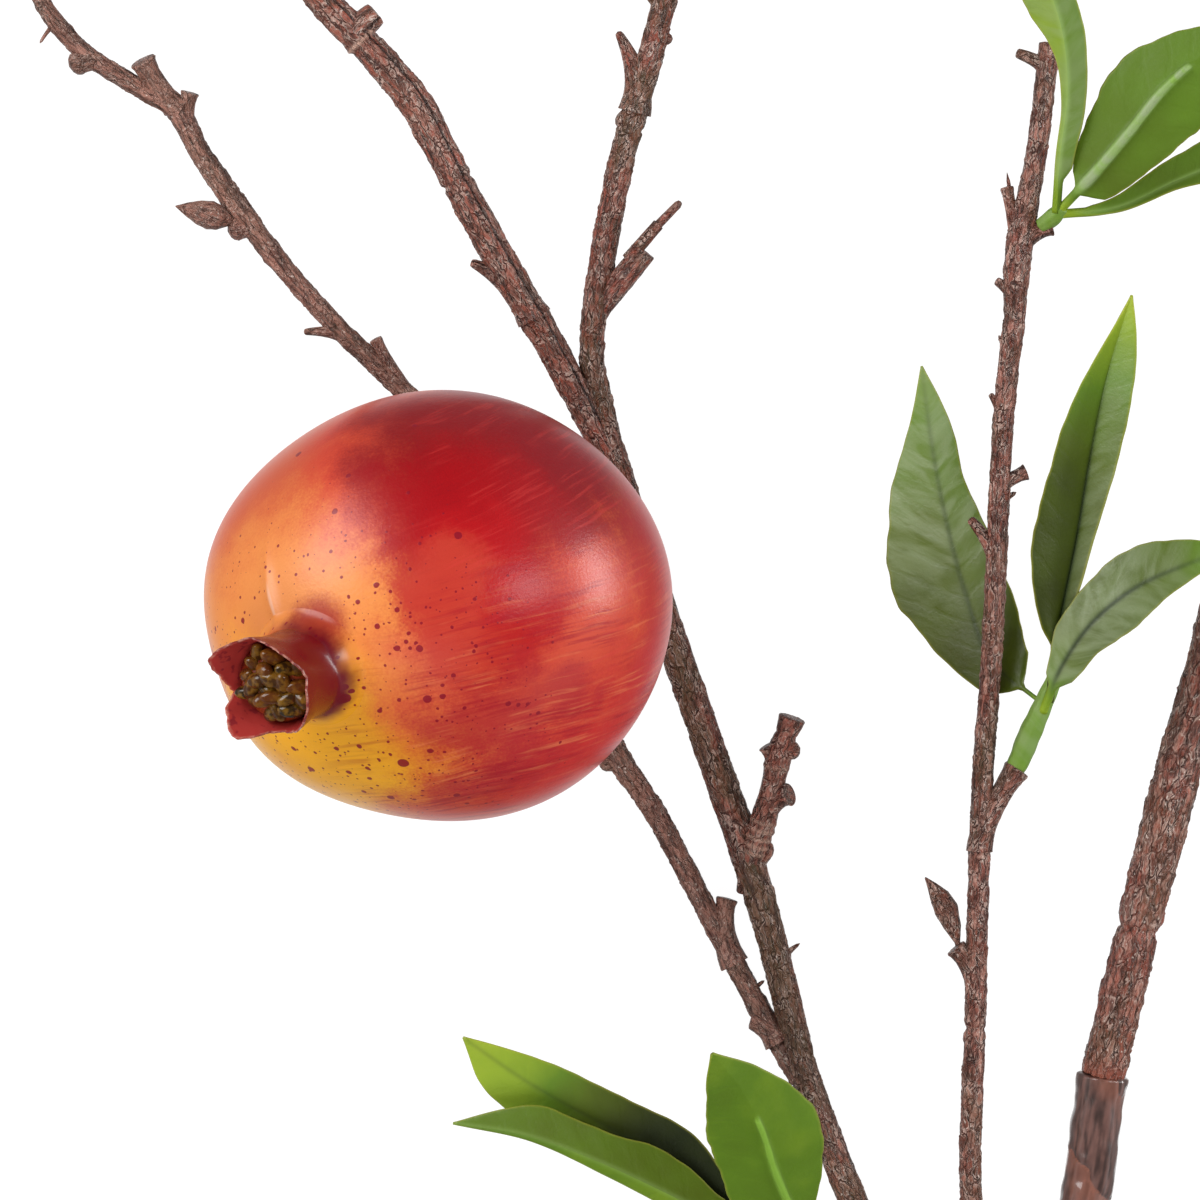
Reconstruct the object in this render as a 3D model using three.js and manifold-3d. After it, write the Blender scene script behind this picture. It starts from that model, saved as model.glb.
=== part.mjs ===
import * as THREE from 'three';
import { mergeVertices } from 'three/addons/utils/BufferGeometryUtils.js';
import Module from 'manifold-3d';

// An artificial pomegranate branch, lying on its back. A stalk wrapped in tape carries a right
// bough, a leaf bough and a fruit bough. The fruit bough forks into a thin twig, which the fruit
// sits on, and a middle bough, which forks again into two upper boughs. Millimetres, +Z up.
// The pieces are laid out round a zero on the floor under the middle of the spray, and the group
// at the end moves that zero to DATUM, so that the origin is the middle of the footprint.

// ---- Driving dimensions -------------------------------------------------------------------

const DATUM = [-37, 1.4];

const GAP = 0.3; // clearance between neighbouring pieces
const LIMB_SIDES = 8;
const RING_STEP = 11; // distance between the rings of a limb
const END_BEVEL = 0.7; // rounding at the end of a limb's sleeve

const LEAF_THICK = 1.0;
const LEAF_RINGS = 10;
const PETIOLE_WIDTH = 2.2;
const TIP_WIDTH = 0.6;
const BLADE_FULLNESS = [0.75, 0.7]; // how the blade swells from its neck, and narrows to its tip

const FRUIT_CENTRE = new THREE.Vector3(-30.3, -1.2, 42.9);
const FRUIT_RADIUS = 42.9;
const FRUIT_STRETCH = new THREE.Vector3(1.027, 0.95, 1);
const FRUIT_LEAN = 35; // degrees between the fruit's axis and the vertical
const FRUIT_BEARING = 208; // degrees from +X to the side that its calyx leans to
const FRUIT_LOBES = 5;
const LOBE_TURN = -0.36; // radians from the side that the calyx leans to
const LOBE_DEPTH = 0.011; // share of the radius
const SHOULDER = 0.045; // share of the radius that the skin rises towards the calyx
const SHOULDER_ANGLE = 0.8; // radians
const STEM_DIMPLE = 0.03; // share of the radius
const DIMPLE_ANGLE = 0.34; // radians

const CALYX_TUBE = 8.7; // outer radius
const CALYX_MOUTH = 9.4;
const CALYX_WALL = 1.2;
const CALYX_TUBE_HEIGHT = 11;
const CALYX_FLOOR = 4.0;
const CALYX_FOOT = 9.2; // radius where it spreads onto the fruit
const SEPALS = [5.5, 2.5, 2.5, 2.5, 4, 6]; // length of each tooth beyond the tube
const SEPAL_FLARE = 0.2; // outward lean of a tooth, per millimetre of its height

const BEADS = 12;
const BEAD_RADIUS = 2.0;
const STAMEN_RADIUS = 7.1; // reach of the whole cluster

// Limbs, from foot to tip. Each point is [x, y, z, radius of the limb there].
const STALK = [
  [75.8, -218.6, 6.2, 6.0], [86.5, -165.9, 7.6, 5.4], [92.3, -136.1, 8.8, 5.0],
  [96.2, -114.3, 9.6, 4.8], [99.0, -93.9, 10.4, 4.85],
];
const RIGHT_BOUGH = [
  [99.0, -93.6, 10.4, 4.3], [104.7, -69.4, 11.2, 4.4], [112.9, -36.1, 12.6, 4.6],
  [119.7, -11.6, 13.6, 4.5], [125.4, 13.7, 14.5, 4.2], [131.5, 39.1, 16, 3.8],
  [138.6, 64.4, 18, 3.2], [145.3, 101.4, 19, 1.9],
];
const LEAF_BOUGH = [
  [82.9, -171.8, 8, 3.0], [76.7, -145.5, 11.5, 2.6], [72.7, -117.5, 15, 2.25],
  [73.2, -83.2, 18, 2.15], [74.4, -37.0, 20, 2.1], [76.3, -8.8, 21, 2.1], [78.6, 38.4, 22.5, 2.1],
  [80.4, 54.4, 23, 2.2], [81.1, 66.9, 23.5, 2.7], [84.5, 86.1, 24.5, 2.1],
  [87.0, 107.6, 25.5, 2.1],
];
const FRUIT_BOUGH = [
  [83.4, -183.7, 7.4, 3.4], [60.3, -140.4, 6.8, 3.1], [49.4, -117.3, 6.6, 2.9],
  [39.5, -91.3, 6.8, 3.0],
];
const FRUIT_TWIG = [
  [39.5, -94.9, 6.6, 2.2], [26.7, -72.1, 5.0, 2.2], [10.7, -41.8, 4.0, 2.25],
  [3.4, -30.8, 3.4, 2.5], [-4.0, -12, 2.6, 2.3], [-9.2, 6.0, 2.5, 2.25], [-23.8, 26, 3.4, 2.2],
  [-40.6, 43.0, 5.5, 2.1], [-52.9, 54.9, 7.5, 2.0], [-64.8, 68.6, 9.5, 2.1],
  [-71.4, 77.7, 11.3, 2.3], [-78.4, 87.6, 12.2, 2.2], [-83.5, 96.6, 13, 2.2], [-90.2, 100.4, 14, 2.0],
  [-101.6, 107.8, 16, 1.85], [-109.6, 118.5, 19.8, 1.7], [-110.3, 128, 21.5, 1.3],
];
const MIDDLE_BOUGH = [
  [40.5, -93.9, 6.8, 2.8], [33.2, -64.6, 7.6, 3.0], [29.0, -50.6, 8, 3.2],
  [17.6, -17.7, 9, 3.1], [10.8, 2.0, 9.8, 3.1], [2.0, 29.1, 11.4, 3.1],
];
const UPPER_LEFT_BOUGH = [
  [3.1, 25.6, 11, 3.0], [-7.3, 45.5, 13.5, 3.0], [-21.9, 70.7, 17.5, 3.2],
  [-28.9, 83.5, 19, 3.2], [-35.6, 96.2, 20.5, 3.4], [-41.6, 103.6, 21.5, 3.25],
  [-58.1, 122.0, 25, 3.0], [-66.6, 142.8, 28, 2.1],
];
const UPPER_BOUGH = [
  [2.4, 28.5, 11.4, 2.7], [-1.6, 48.0, 13.1, 2.5], [-0.4, 60.8, 14.2, 2.6],
  [3.7, 83.5, 16.4, 2.6], [11.7, 113.1, 19, 2.5], [17.5, 138.1, 21.5, 1.9],
];
const KNOBBED_SPUR = [
  [29.2, -52.3, 8.6, 2.2], [31.9, -44.3, 10.5, 2.3], [35.1, -30.4, 13.4, 2.3],
  [37.6, -23.2, 14.8, 2.7],
];

// ---- Solids -------------------------------------------------------------------------------

const wasm = await Module();
wasm.setup();

const Z = new THREE.Vector3(0, 0, 1);

/** A closed geometry as a solid that can be joined and cut. */
function toSolid(geometry) {
  const bare = geometry.clone();
  bare.deleteAttribute('normal');
  bare.deleteAttribute('uv');
  const merged = mergeVertices(bare, 1e-4);
  const corners = merged.index.array;
  const faces = [];
  for (let i = 0; i < corners.length; i += 3) {
    const [a, b, c] = [corners[i], corners[i + 1], corners[i + 2]];
    if (a !== b && b !== c && c !== a) {
      faces.push(a, b, c);
    }
  }
  return new wasm.Manifold(new wasm.Mesh({
    numProp: 3,
    vertProperties: new Float32Array(merged.attributes.position.array),
    triVerts: new Uint32Array(faces),
  }));
}

/** A solid back as a geometry. */
function toGeometry(solid) {
  const mesh = solid.getMesh();
  const geometry = new THREE.BufferGeometry();
  geometry.setAttribute('position', new THREE.BufferAttribute(mesh.vertProperties, 3));
  geometry.setIndex(new THREE.BufferAttribute(mesh.triVerts, 1));
  geometry.computeVertexNormals();
  return geometry;
}

const join = (solids) => solids.reduce((whole, piece) => whole.add(piece));

/** The directions along, to the right of and above a path, where it heads along the given way. */
function frameOf(along) {
  const side = new THREE.Vector3().crossVectors(along, Z).normalize();
  const over = new THREE.Vector3().crossVectors(side, along);
  return { along, side, over };
}

/** Moves a point by amounts along each of three directions. */
function offset(point, ...moves) {
  const moved = point.clone();
  for (const [direction, amount] of moves) {
    moved.addScaledVector(direction, amount);
  }
  return moved;
}

/** Gives every vertex of a geometry the place that move() works out for it. */
function bend(geometry, move) {
  const places = geometry.attributes.position;
  for (let i = 0; i < places.count; i += 1) {
    const place = move(new THREE.Vector3().fromBufferAttribute(places, i));
    places.setXYZ(i, place.x, place.y, place.z);
  }
  return geometry;
}

// ---- Limbs --------------------------------------------------------------------------------

/** A tapering limb that runs through points of [x, y, z, radius], with pegs that stand on it. */
class Limb {
  constructor(points, pegs = []) {
    this.curve = new THREE.CatmullRomCurve3(points.map(([x, y, z]) => new THREE.Vector3(x, y, z)));
    this.radii = points.map((point) => point[3]);
    this.length = this.curve.getLength();
    this.pegs = pegs;
  }

  radiusAt(u) {
    const t = this.curve.getUtoTmapping(u) * (this.radii.length - 1);
    const i = Math.min(Math.floor(t), this.radii.length - 2);
    return THREE.MathUtils.lerp(this.radii[i], this.radii[i + 1], t - i);
  }

  frameAt(u) {
    return { at: this.curve.getPointAt(u), ...frameOf(this.curve.getTangentAt(u)) };
  }

  /** The bare limb between two shares of its length, with bevelled ends. */
  sleeve(from, to, grow) {
    const bevel = END_BEVEL / this.length;
    const count = Math.max(1, Math.round(((to - from) * this.length) / RING_STEP));
    const rings = [from];
    for (let i = 0; i <= count; i += 1) {
      rings.push(THREE.MathUtils.lerp(from + bevel, to - bevel, i / count));
    }
    rings.push(to);
    const last = rings.length - 1;
    const tube = new THREE.CylinderGeometry(1, 1, 1, LIMB_SIDES, last);
    return toSolid(bend(tube, ({ x, y, z }) => {
      const ring = Math.round((y + 0.5) * last);
      const { at, side, over } = this.frameAt(rings[ring]);
      const end = ring === 0 || ring === last ? END_BEVEL : 0;
      const radius = this.radiusAt(rings[ring]) + grow - end;
      return offset(at, [side, x * radius], [over, z * radius]);
    }));
  }

  /** The limb with the pegs that stand between two shares of its length. */
  solid({ from = 0, to = 1, grow = 0 } = {}) {
    const own = this.pegs.filter((peg) => peg.at >= from && peg.at <= to);
    return join([this.sleeve(from, to, grow), ...own.map((peg) => this.peg(peg, grow))]);
  }

  /** One peg, turned round the limb from its right side and leant from its direction. */
  peg({ at, turn = 0, lean = 90, length, foot, tip, shape = 'stub' }, grow) {
    const { at: root, along, side, over } = this.frameAt(at);
    const [around, away] = [turn, lean].map(THREE.MathUtils.degToRad);
    const way = offset(
      new THREE.Vector3(),
      [along, Math.cos(away)],
      [side, Math.sin(away) * Math.cos(around)],
      [over, Math.sin(away) * Math.sin(around)],
    );
    const make = { stub, bud, knob }[shape];
    const piece = make(length + grow, foot + grow, (tip ?? foot) + grow);
    piece.applyQuaternion(new THREE.Quaternion().setFromUnitVectors(new THREE.Vector3(0, 1, 0), way));
    return toSolid(piece.translate(root.x, root.y, root.z));
  }
}

/** A cut stub that stands on the XZ plane. */
function stub(length, foot, tip) {
  return new THREE.CylinderGeometry(tip, foot, length, 6, 1).translate(0, length / 2, 0);
}

/** A pointed bud on a short neck. */
function bud(length, neck, belly) {
  const profile = [
    [0, 0], [neck, 0], [neck, length * 0.3], [belly, length * 0.5], [belly * 0.75, length * 0.74],
    [0, length],
  ];
  return new THREE.LatheGeometry(profile.map(([r, h]) => new THREE.Vector2(r, h)), 6);
}

/** A rounded knob whose middle is half its length up. */
function knob(length, radius) {
  return new THREE.SphereGeometry(1, 6, 4).scale(radius, length / 2, radius)
    .translate(0, length / 2, 0);
}

// ---- Leaves -------------------------------------------------------------------------------

/** Width of a blade at a share of its length: a thin petiole, then a swelling and pointed blade. */
function bladeWidth(share, neck, width) {
  if (share <= neck) {
    return PETIOLE_WIDTH;
  }
  const [swell, narrow] = BLADE_FULLNESS;
  const t = (share - neck) / (1 - neck);
  const widest = swell / (swell + narrow);
  const full = (widest ** swell) * ((1 - widest) ** narrow);
  return Math.max(TIP_WIDTH, (width * (t ** swell) * ((1 - t) ** narrow)) / full);
}

/**
 * A leaf whose rib starts at foot. Its heading from +X, its climb above the level and its roll
 * each go evenly from one angle to another, and fold is the rise of its halves beside the rib.
 */
function leaf({ foot, heading, climb, length, width, roll = [0, 0], fold = 15, neck = 0.1 }) {
  const { lerp, degToRad } = THREE.MathUtils;
  const ribs = [];
  const at = new THREE.Vector3(...foot);
  for (let i = 0; i <= LEAF_RINGS; i += 1) {
    const share = i / LEAF_RINGS;
    const turned = degToRad(lerp(...heading, share));
    const raised = degToRad(lerp(...climb, share));
    const along = new THREE.Vector3(
      Math.cos(turned) * Math.cos(raised),
      Math.sin(turned) * Math.cos(raised),
      Math.sin(raised),
    );
    const { side, over } = frameOf(along);
    const rolled = degToRad(lerp(...roll, share));
    const nil = new THREE.Vector3();
    ribs.push({
      at: at.clone(),
      side: offset(nil, [side, Math.cos(rolled)], [over, Math.sin(rolled)]),
      over: offset(nil, [over, Math.cos(rolled)], [side, -Math.sin(rolled)]),
      half: bladeWidth(share, neck, width) / 2,
    });
    at.addScaledVector(along, length / LEAF_RINGS);
  }
  const slope = degToRad(fold);
  const slab = new THREE.BoxGeometry(2, 1, LEAF_THICK, 4, LEAF_RINGS, 1);
  return toSolid(bend(slab, ({ x, y, z }) => {
    const rib = ribs[Math.round((y + 0.5) * LEAF_RINGS)];
    const across = x * rib.half * Math.cos(slope);
    const rise = Math.abs(x) * rib.half * Math.sin(slope);
    return offset(rib.at, [rib.side, across], [rib.over, rise + z]);
  }));
}

/** A stem with leaves fused on, cut clear of the limb that carries it. */
function sprig({ stem, leaves, on }) {
  const whole = join([new Limb(stem).solid(), ...leaves.map(leaf)]);
  return whole.subtract(on.solid({ grow: GAP }));
}

// ---- The limbs and their pegs -------------------------------------------------------------

const stalk = new Limb(STALK);
const rightBough = new Limb(RIGHT_BOUGH, [
  { at: 0.53, turn: 0, lean: 50, length: 11, foot: 2.2, tip: 1.7 },
]);
const leafBough = new Limb(LEAF_BOUGH, [
  { at: 0.37, turn: 180, lean: 90, length: 4.2, foot: 1.7, shape: 'knob' },
  { at: 0.374, turn: 170, lean: 37, length: 16.4, foot: 0.8, tip: 2.6, shape: 'bud' },
  { at: 0.463, turn: 0, lean: 36, length: 12.8, foot: 1.7, tip: 1.5 },
  { at: 0.651, turn: 180, lean: 52, length: 6.8, foot: 1.9, tip: 0.8 },
  { at: 0.697, turn: 0, lean: 62, length: 4.6, foot: 1.5, shape: 'knob' },
  { at: 0.745, turn: 180, lean: 80, length: 3.4, foot: 1.2, tip: 0.6 },
  { at: 0.786, turn: 180, lean: 80, length: 3.2, foot: 1.1, tip: 0.6 },
  { at: 0.828, turn: 180, lean: 85, length: 3.8, foot: 1.5, tip: 0.8 },
  { at: 0.858, turn: 180, lean: 19, length: 13.4, foot: 1.3, tip: 0.9 },
  { at: 0.868, turn: 0, lean: 62, length: 6.2, foot: 2.3, tip: 1.9 },
  { at: 0.99, turn: 180, lean: 88, length: 5.2, foot: 1.4, tip: 0.7 },
]);
const fruitBough = new Limb(FRUIT_BOUGH);
const fruitTwig = new Limb(FRUIT_TWIG, [
  { at: 0.04, turn: 180, lean: 90, length: 3.1, foot: 1.4, shape: 'knob' },
  { at: 0.073, turn: 0, lean: 105, length: 3.1, foot: 1.0, tip: 0.5 },
  { at: 0.123, turn: 0, lean: 62, length: 5.5, foot: 1.9, tip: 0.9 },
  { at: 0.262, turn: 180, lean: 80, length: 4.2, foot: 2.0, shape: 'knob' },
  { at: 0.575, turn: 20, lean: 18, length: 12.3, foot: 1.7, tip: 1.1 },
  { at: 0.64, turn: 180, lean: 57, length: 6.6, foot: 1.5, tip: 0.7 },
  { at: 0.732, turn: 180, lean: 80, length: 4.4, foot: 1.9, shape: 'knob' },
  { at: 0.735, turn: 170, lean: 41, length: 13.8, foot: 0.9, tip: 2.6, shape: 'bud' },
  { at: 0.822, turn: 0, lean: 85, length: 3.6, foot: 1.4, shape: 'knob' },
  { at: 0.838, turn: 15, lean: 38, length: 8.0, foot: 2.2, tip: 1.8 },
  { at: 0.895, turn: 180, lean: 60, length: 3.6, foot: 2.0, shape: 'knob' },
  { at: 0.929, turn: 180, lean: 108, length: 4.6, foot: 0.9, tip: 0.5 },
  { at: 0.995, turn: 0, lean: 4, length: 8.5, foot: 0.9, tip: 1.7, shape: 'bud' },
]);
const middleBough = new Limb(MIDDLE_BOUGH, [
  { at: 0.183, turn: 0, lean: 85, length: 5.2, foot: 1.5, tip: 0.6 },
  { at: 0.33, turn: 0, lean: 50, length: 6.6, foot: 2.4, shape: 'knob' },
]);
const upperLeftBough = new Limb(UPPER_LEFT_BOUGH, [
  { at: 0.33, turn: 180, lean: 55, length: 6.2, foot: 1.7, tip: 0.7 },
  { at: 0.715, turn: 0, lean: 95, length: 5.4, foot: 2.2, tip: 1.7 },
  { at: 0.735, turn: 20, lean: 60, length: 7.0, foot: 2.0, shape: 'knob' },
]);
const upperBough = new Limb(UPPER_BOUGH, [
  { at: 0.315, turn: 0, lean: 58, length: 8.2, foot: 2.5, tip: 1.9 },
  { at: 0.33, turn: 0, lean: 42, length: 18.2, foot: 1.5, tip: 0.9 },
  { at: 0.676, turn: 180, lean: 52, length: 9.2, foot: 2.1, tip: 1.5 },
  { at: 0.74, turn: 0, lean: 80, length: 3.4, foot: 1.2, shape: 'knob' },
]);
const knobbedSpur = new Limb(KNOBBED_SPUR, [
  { at: 0.42, turn: 0, lean: 78, length: 5.4, foot: 2.0, shape: 'knob' },
  { at: 0.7, turn: 180, lean: 75, length: 3.6, foot: 1.4, shape: 'knob' },
  { at: 0.97, turn: 0, lean: 90, length: 3.3, foot: 1.7, shape: 'knob' },
]);

// Shares of a limb's length where one moulded sleeve ends and the next begins.
const RIGHT_JOINT = 0.149;
const LEAF_JOINTS = [0.319, 0.81];
const TWIG_JOINT = 0.43; // under the fruit
const UPPER_LEFT_JOINT = 0.465;
const UPPER_JOINT = 0.578;

/** The sleeves of a limb, split GAP apart at the joints and cut clear of the limbs given. */
function sleeves(limb, joints, clearOf = []) {
  const half = GAP / 2 / limb.length;
  const ends = [-half, ...joints, 1 + half];
  const cuts = clearOf.map((other) => other.solid({ grow: GAP }));
  return ends.slice(1).map((end, i) => {
    const piece = limb.solid({ from: ends[i] + half, to: end - half });
    return cuts.reduce((rest, cut) => rest.subtract(cut), piece);
  });
}

// ---- The fruit ----------------------------------------------------------------------------

// The fruit's own axes: X is the way its calyx leans, at right angles to Y, which runs from the
// stem end to the calyx.
const fruitAxes = new THREE.Matrix4();
{
  const lean = THREE.MathUtils.degToRad(FRUIT_LEAN);
  const level = new THREE.Vector3(1, 0, 0)
    .applyAxisAngle(Z, THREE.MathUtils.degToRad(FRUIT_BEARING));
  const calyxWay = offset(new THREE.Vector3(), [level, Math.sin(lean)], [Z, Math.cos(lean)]);
  const leanWay = offset(new THREE.Vector3(), [level, Math.cos(lean)], [Z, -Math.sin(lean)]);
  fruitAxes.makeBasis(leanWay, calyxWay, new THREE.Vector3().crossVectors(leanWay, calyxWay));
}

/** Puts a point given along the fruit's own axes where the fruit lies. */
function inFruit(point) {
  return point.applyMatrix4(fruitAxes).multiply(FRUIT_STRETCH).add(FRUIT_CENTRE);
}

/** Radius of the skin at an angle from the calyx and an angle round the axis. */
function skinRadius(fromCalyx, round) {
  const lobed = Math.sin(fromCalyx) ** 2 * (1 + Math.cos(fromCalyx));
  const lobes = LOBE_DEPTH * lobed * Math.cos(FRUIT_LOBES * (round - LOBE_TURN));
  const shoulder = SHOULDER * Math.exp(-((fromCalyx / SHOULDER_ANGLE) ** 2));
  const dimple = STEM_DIMPLE * Math.exp(-(((Math.PI - fromCalyx) / DIMPLE_ANGLE) ** 2));
  return FRUIT_RADIUS * (1 + lobes + shoulder - dimple);
}

function fruit(grow = 0) {
  const ball = new THREE.SphereGeometry(1, 32, 20);
  return toSolid(bend(ball, (point) => {
    const fromCalyx = Math.acos(THREE.MathUtils.clamp(point.y, -1, 1));
    const round = Math.atan2(point.z, point.x);
    return inFruit(point.multiplyScalar(skinRadius(fromCalyx, round) + grow));
  }));
}

/** Length of the calyx's teeth at an angle round its axis. */
function sepalLength(round) {
  const share = round / (2 * Math.PI) + 1 + 1e-6;
  const turns = (share * SEPALS.length) % SEPALS.length;
  const fromTip = Math.abs((turns % 1) - 0.5) * 2;
  return SEPALS[Math.floor(turns)] * (1 - fromTip ** 2) + 1;
}

function calyx() {
  const pole = skinRadius(0, 0);
  const top = CALYX_TUBE_HEIGHT;
  const profile = [
    [0, -4], [CALYX_FOOT, -4], [CALYX_FOOT, -1], [CALYX_TUBE, 2], [CALYX_TUBE, top - 4],
    [CALYX_MOUTH, top], [CALYX_MOUTH, top + 1], [CALYX_MOUTH - CALYX_WALL, top + 1],
    [CALYX_MOUTH - CALYX_WALL, top], [CALYX_TUBE - CALYX_WALL, top - 4],
    [CALYX_TUBE - CALYX_WALL, CALYX_FLOOR], [0, CALYX_FLOOR],
  ].map(([radius, height]) => new THREE.Vector2(radius, height));
  const cup = new THREE.LatheGeometry(profile, 6 * SEPALS.length);
  const shaped = bend(cup, (point) => {
    const above = point.y - top;
    if (above > 0) {
      const height = above * sepalLength(Math.atan2(point.z, point.x));
      const spread = 1 + (SEPAL_FLARE * height) / CALYX_TUBE;
      point.set(point.x * spread, top + height, point.z * spread);
    }
    return inFruit(point.setY(point.y + pole));
  });
  return toSolid(shaped).subtract(fruit(GAP));
}

function stamens() {
  const pole = skinRadius(0, 0);
  const base = CALYX_FLOOR + GAP;
  const reach = STAMEN_RADIUS - BEAD_RADIUS;
  const place = (geometry) => toSolid(bend(geometry, (point) => inFruit(point)));
  const core = new THREE.CylinderGeometry(reach, STAMEN_RADIUS - 0.6, 8, 10)
    .translate(0, pole + base + 4, 0);
  const cluster = [place(core)];
  for (let i = 0; i < BEADS; i += 1) {
    const share = Math.sqrt((i + 0.5) / BEADS);
    const round = i * Math.PI * (3 - Math.sqrt(5));
    const bead = new THREE.IcosahedronGeometry(BEAD_RADIUS, 0).scale(1, 1.5, 1).translate(
      reach * share * Math.cos(round),
      pole + base + 8.6 - 2.4 * share ** 2,
      reach * share * Math.sin(round),
    );
    cluster.push(place(bead));
  }
  return join(cluster);
}

/** The short stalk between the twig and the fruit's stem end. */
function fruitStalk() {
  const end = inFruit(new THREE.Vector3(0, -skinRadius(Math.PI, 0) + 2, 0));
  const root = fruitTwig.frameAt(0.402).at;
  const peg = new Limb([[...root.toArray(), 2.4], [...end.toArray(), 2.0]]).solid();
  return peg.subtract(fruitTwig.solid({ grow: GAP })).subtract(fruit(GAP));
}

// ---- The leaf sprigs ----------------------------------------------------------------------

const SPRIGS = {
  lower_left_leaves: {
    on: fruitBough,
    stem: [[55.5, -133.2, 7.2, 2.0], [49.5, -131, 8.8, 2.0], [43.5, -128.4, 11, 1.7]],
    leaves: [
      { foot: [44.4, -129.6, 10.6], heading: [151, 147], climb: [8, -10], length: 84, width: 17,
        roll: [-22, -14], fold: 20 },
      { foot: [45, -131, 9.8], heading: [151, 170], climb: [10, -14], length: 80, width: 15,
        roll: [32, 36], fold: -36 },
      { foot: [46, -128.1, 11.5], heading: [114, 127], climb: [44, 31], length: 63, width: 23,
        roll: [4, 4], fold: -14, neck: 0.14 },
    ],
  },
  side_leaves: {
    on: leafBough,
    stem: [[81.9, -32.2, 20.7, 2.1], [83.9, -26.3, 21.4, 2.5], [86.6, -19.5, 22.4, 1.9],
      [89.5, -11.4, 24.4, 1.5]],
    leaves: [
      { foot: [86.2, -20.6, 22], heading: [129, 86], climb: [-28, 18], length: 74, width: 16,
        roll: [14, 14], fold: 10, neck: 0.12 },
      { foot: [88.8, -13, 24.4], heading: [89, 70], climb: [15, 5], length: 73, width: 15,
        roll: [20, 20], fold: 28, neck: 0.06 },
      { foot: [88.8, -13.2, 24], heading: [56, 11], climb: [37, -9], length: 43, width: 12,
        roll: [-18, -18], fold: 20, neck: 0.1 },
    ],
  },
  tip_leaves: {
    on: leafBough,
    stem: [[86.2, 72.6, 24.6, 1.7], [88.4, 74.2, 26.2, 2.0], [90.2, 76.2, 28.0, 1.6]],
    leaves: [
      { foot: [88.2, 75.6, 27.6], heading: [84, 116], climb: [19, 9], length: 58, width: 12,
        roll: [30, -10], fold: 16, neck: 0.3 },
      { foot: [89.4, 75.4, 27.6], heading: [54, 29], climb: [30, 1], length: 52.5, width: 19,
        roll: [-4, -4], fold: -12, neck: 0.12 },
      { foot: [89.8, 74.6, 27], heading: [19, 25], climb: [8, 0], length: 57, width: 17,
        roll: [38, 38], fold: 16, neck: 0.16 },
    ],
  },
  upper_left_leaves: {
    on: upperLeftBough,
    stem: [[-66.2, 142.0, 27.9, 1.6], [-68.6, 147.6, 28.8, 1.8], [-71.2, 153.0, 29.6, 1.4]],
    leaves: [
      { foot: [-69.4, 149.6, 29], heading: [170, 190], climb: [-2, -52], length: 70, width: 18,
        roll: [12, 12], fold: 16 },
      { foot: [-70.8, 152.2, 29.4], heading: [118, 100], climb: [20, -14], length: 70, width: 19,
        roll: [-20, -20], fold: 20 },
      { foot: [-69.8, 150.6, 29.2], heading: [62, 30], climb: [24, -6], length: 58, width: 18,
        roll: [18, 18], fold: 16 },
    ],
  },
  upper_leaves: {
    on: upperBough,
    stem: [[17.3, 137.4, 21.4, 1.5], [18.7, 143, 22.2, 1.8], [19.6, 148.4, 23.2, 1.4]],
    leaves: [
      { foot: [18.8, 145, 22.6], heading: [128, 146], climb: [26, -12], length: 60, width: 18,
        roll: [-16, -16], fold: 18 },
      { foot: [19.4, 147.6, 23], heading: [88, 70], climb: [16, -10], length: 68, width: 18,
        roll: [22, 22], fold: 20 },
      { foot: [19.2, 145.8, 22.8], heading: [38, 8], climb: [6, -22], length: 62, width: 19,
        roll: [6, 6], fold: 14 },
    ],
  },
  right_tip_leaves: {
    on: rightBough,
    stem: [[145.1, 100.4, 18.9, 1.5], [146.3, 106.4, 19.6, 1.8], [147.6, 112, 20.6, 1.4]],
    leaves: [
      { foot: [146.4, 108.6, 20], heading: [112, 134], climb: [22, -8], length: 64, width: 18,
        roll: [-20, -20], fold: 18 },
      { foot: [147.4, 111.2, 20.4], heading: [72, 60], climb: [14, -12], length: 68, width: 18,
        roll: [16, 16], fold: 20 },
      { foot: [146.8, 109.6, 20.2], heading: [20, -8], climb: [0, -34], length: 56, width: 18,
        roll: [0, 0], fold: 14 },
    ],
  },
  right_side_leaves: {
    on: rightBough,
    stem: [[134.4, 14.8, 14.4, 2.0], [140.0, 19.6, 15.2, 2.2], [146.4, 24.4, 16.4, 1.5]],
    leaves: [
      { foot: [143, 22, 15.8], heading: [-14, -44], climb: [0, -30], length: 66, width: 19,
        roll: [4, 4], fold: 16 },
      { foot: [145.4, 23.8, 16.2], heading: [34, 22], climb: [12, -30], length: 70, width: 18,
        roll: [-10, -10], fold: 20 },
      { foot: [144, 22.8, 16], heading: [70, 62], climb: [26, 0], length: 58, width: 17,
        roll: [24, 24], fold: 18 },
    ],
  },
};

// ---- Assembly -----------------------------------------------------------------------------

const FINISH = {
  tape: { color: 0x4f3330, roughness: 0.5 },
  bark: { color: 0x6b4038, roughness: 0.6 },
  skin: { color: 0xc8323a, roughness: 0.3 },
  sepal: { color: 0x9c1f28, roughness: 0.35 },
  stamen: { color: 0x4a3a20, roughness: 0.4 },
  leaf: { color: 0x46702a, roughness: 0.45 },
};
const materials = Object.fromEntries(Object.entries(FINISH).map(([name, look]) => (
  [name, new THREE.MeshStandardMaterial({ ...look, metalness: 0 })]
)));

const group = new THREE.Group();
group.position.set(DATUM[0], DATUM[1], 0);

function place(name, solid, material) {
  const mesh = new THREE.Mesh(toGeometry(solid), materials[material]);
  mesh.name = name;
  group.add(mesh);
}

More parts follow.
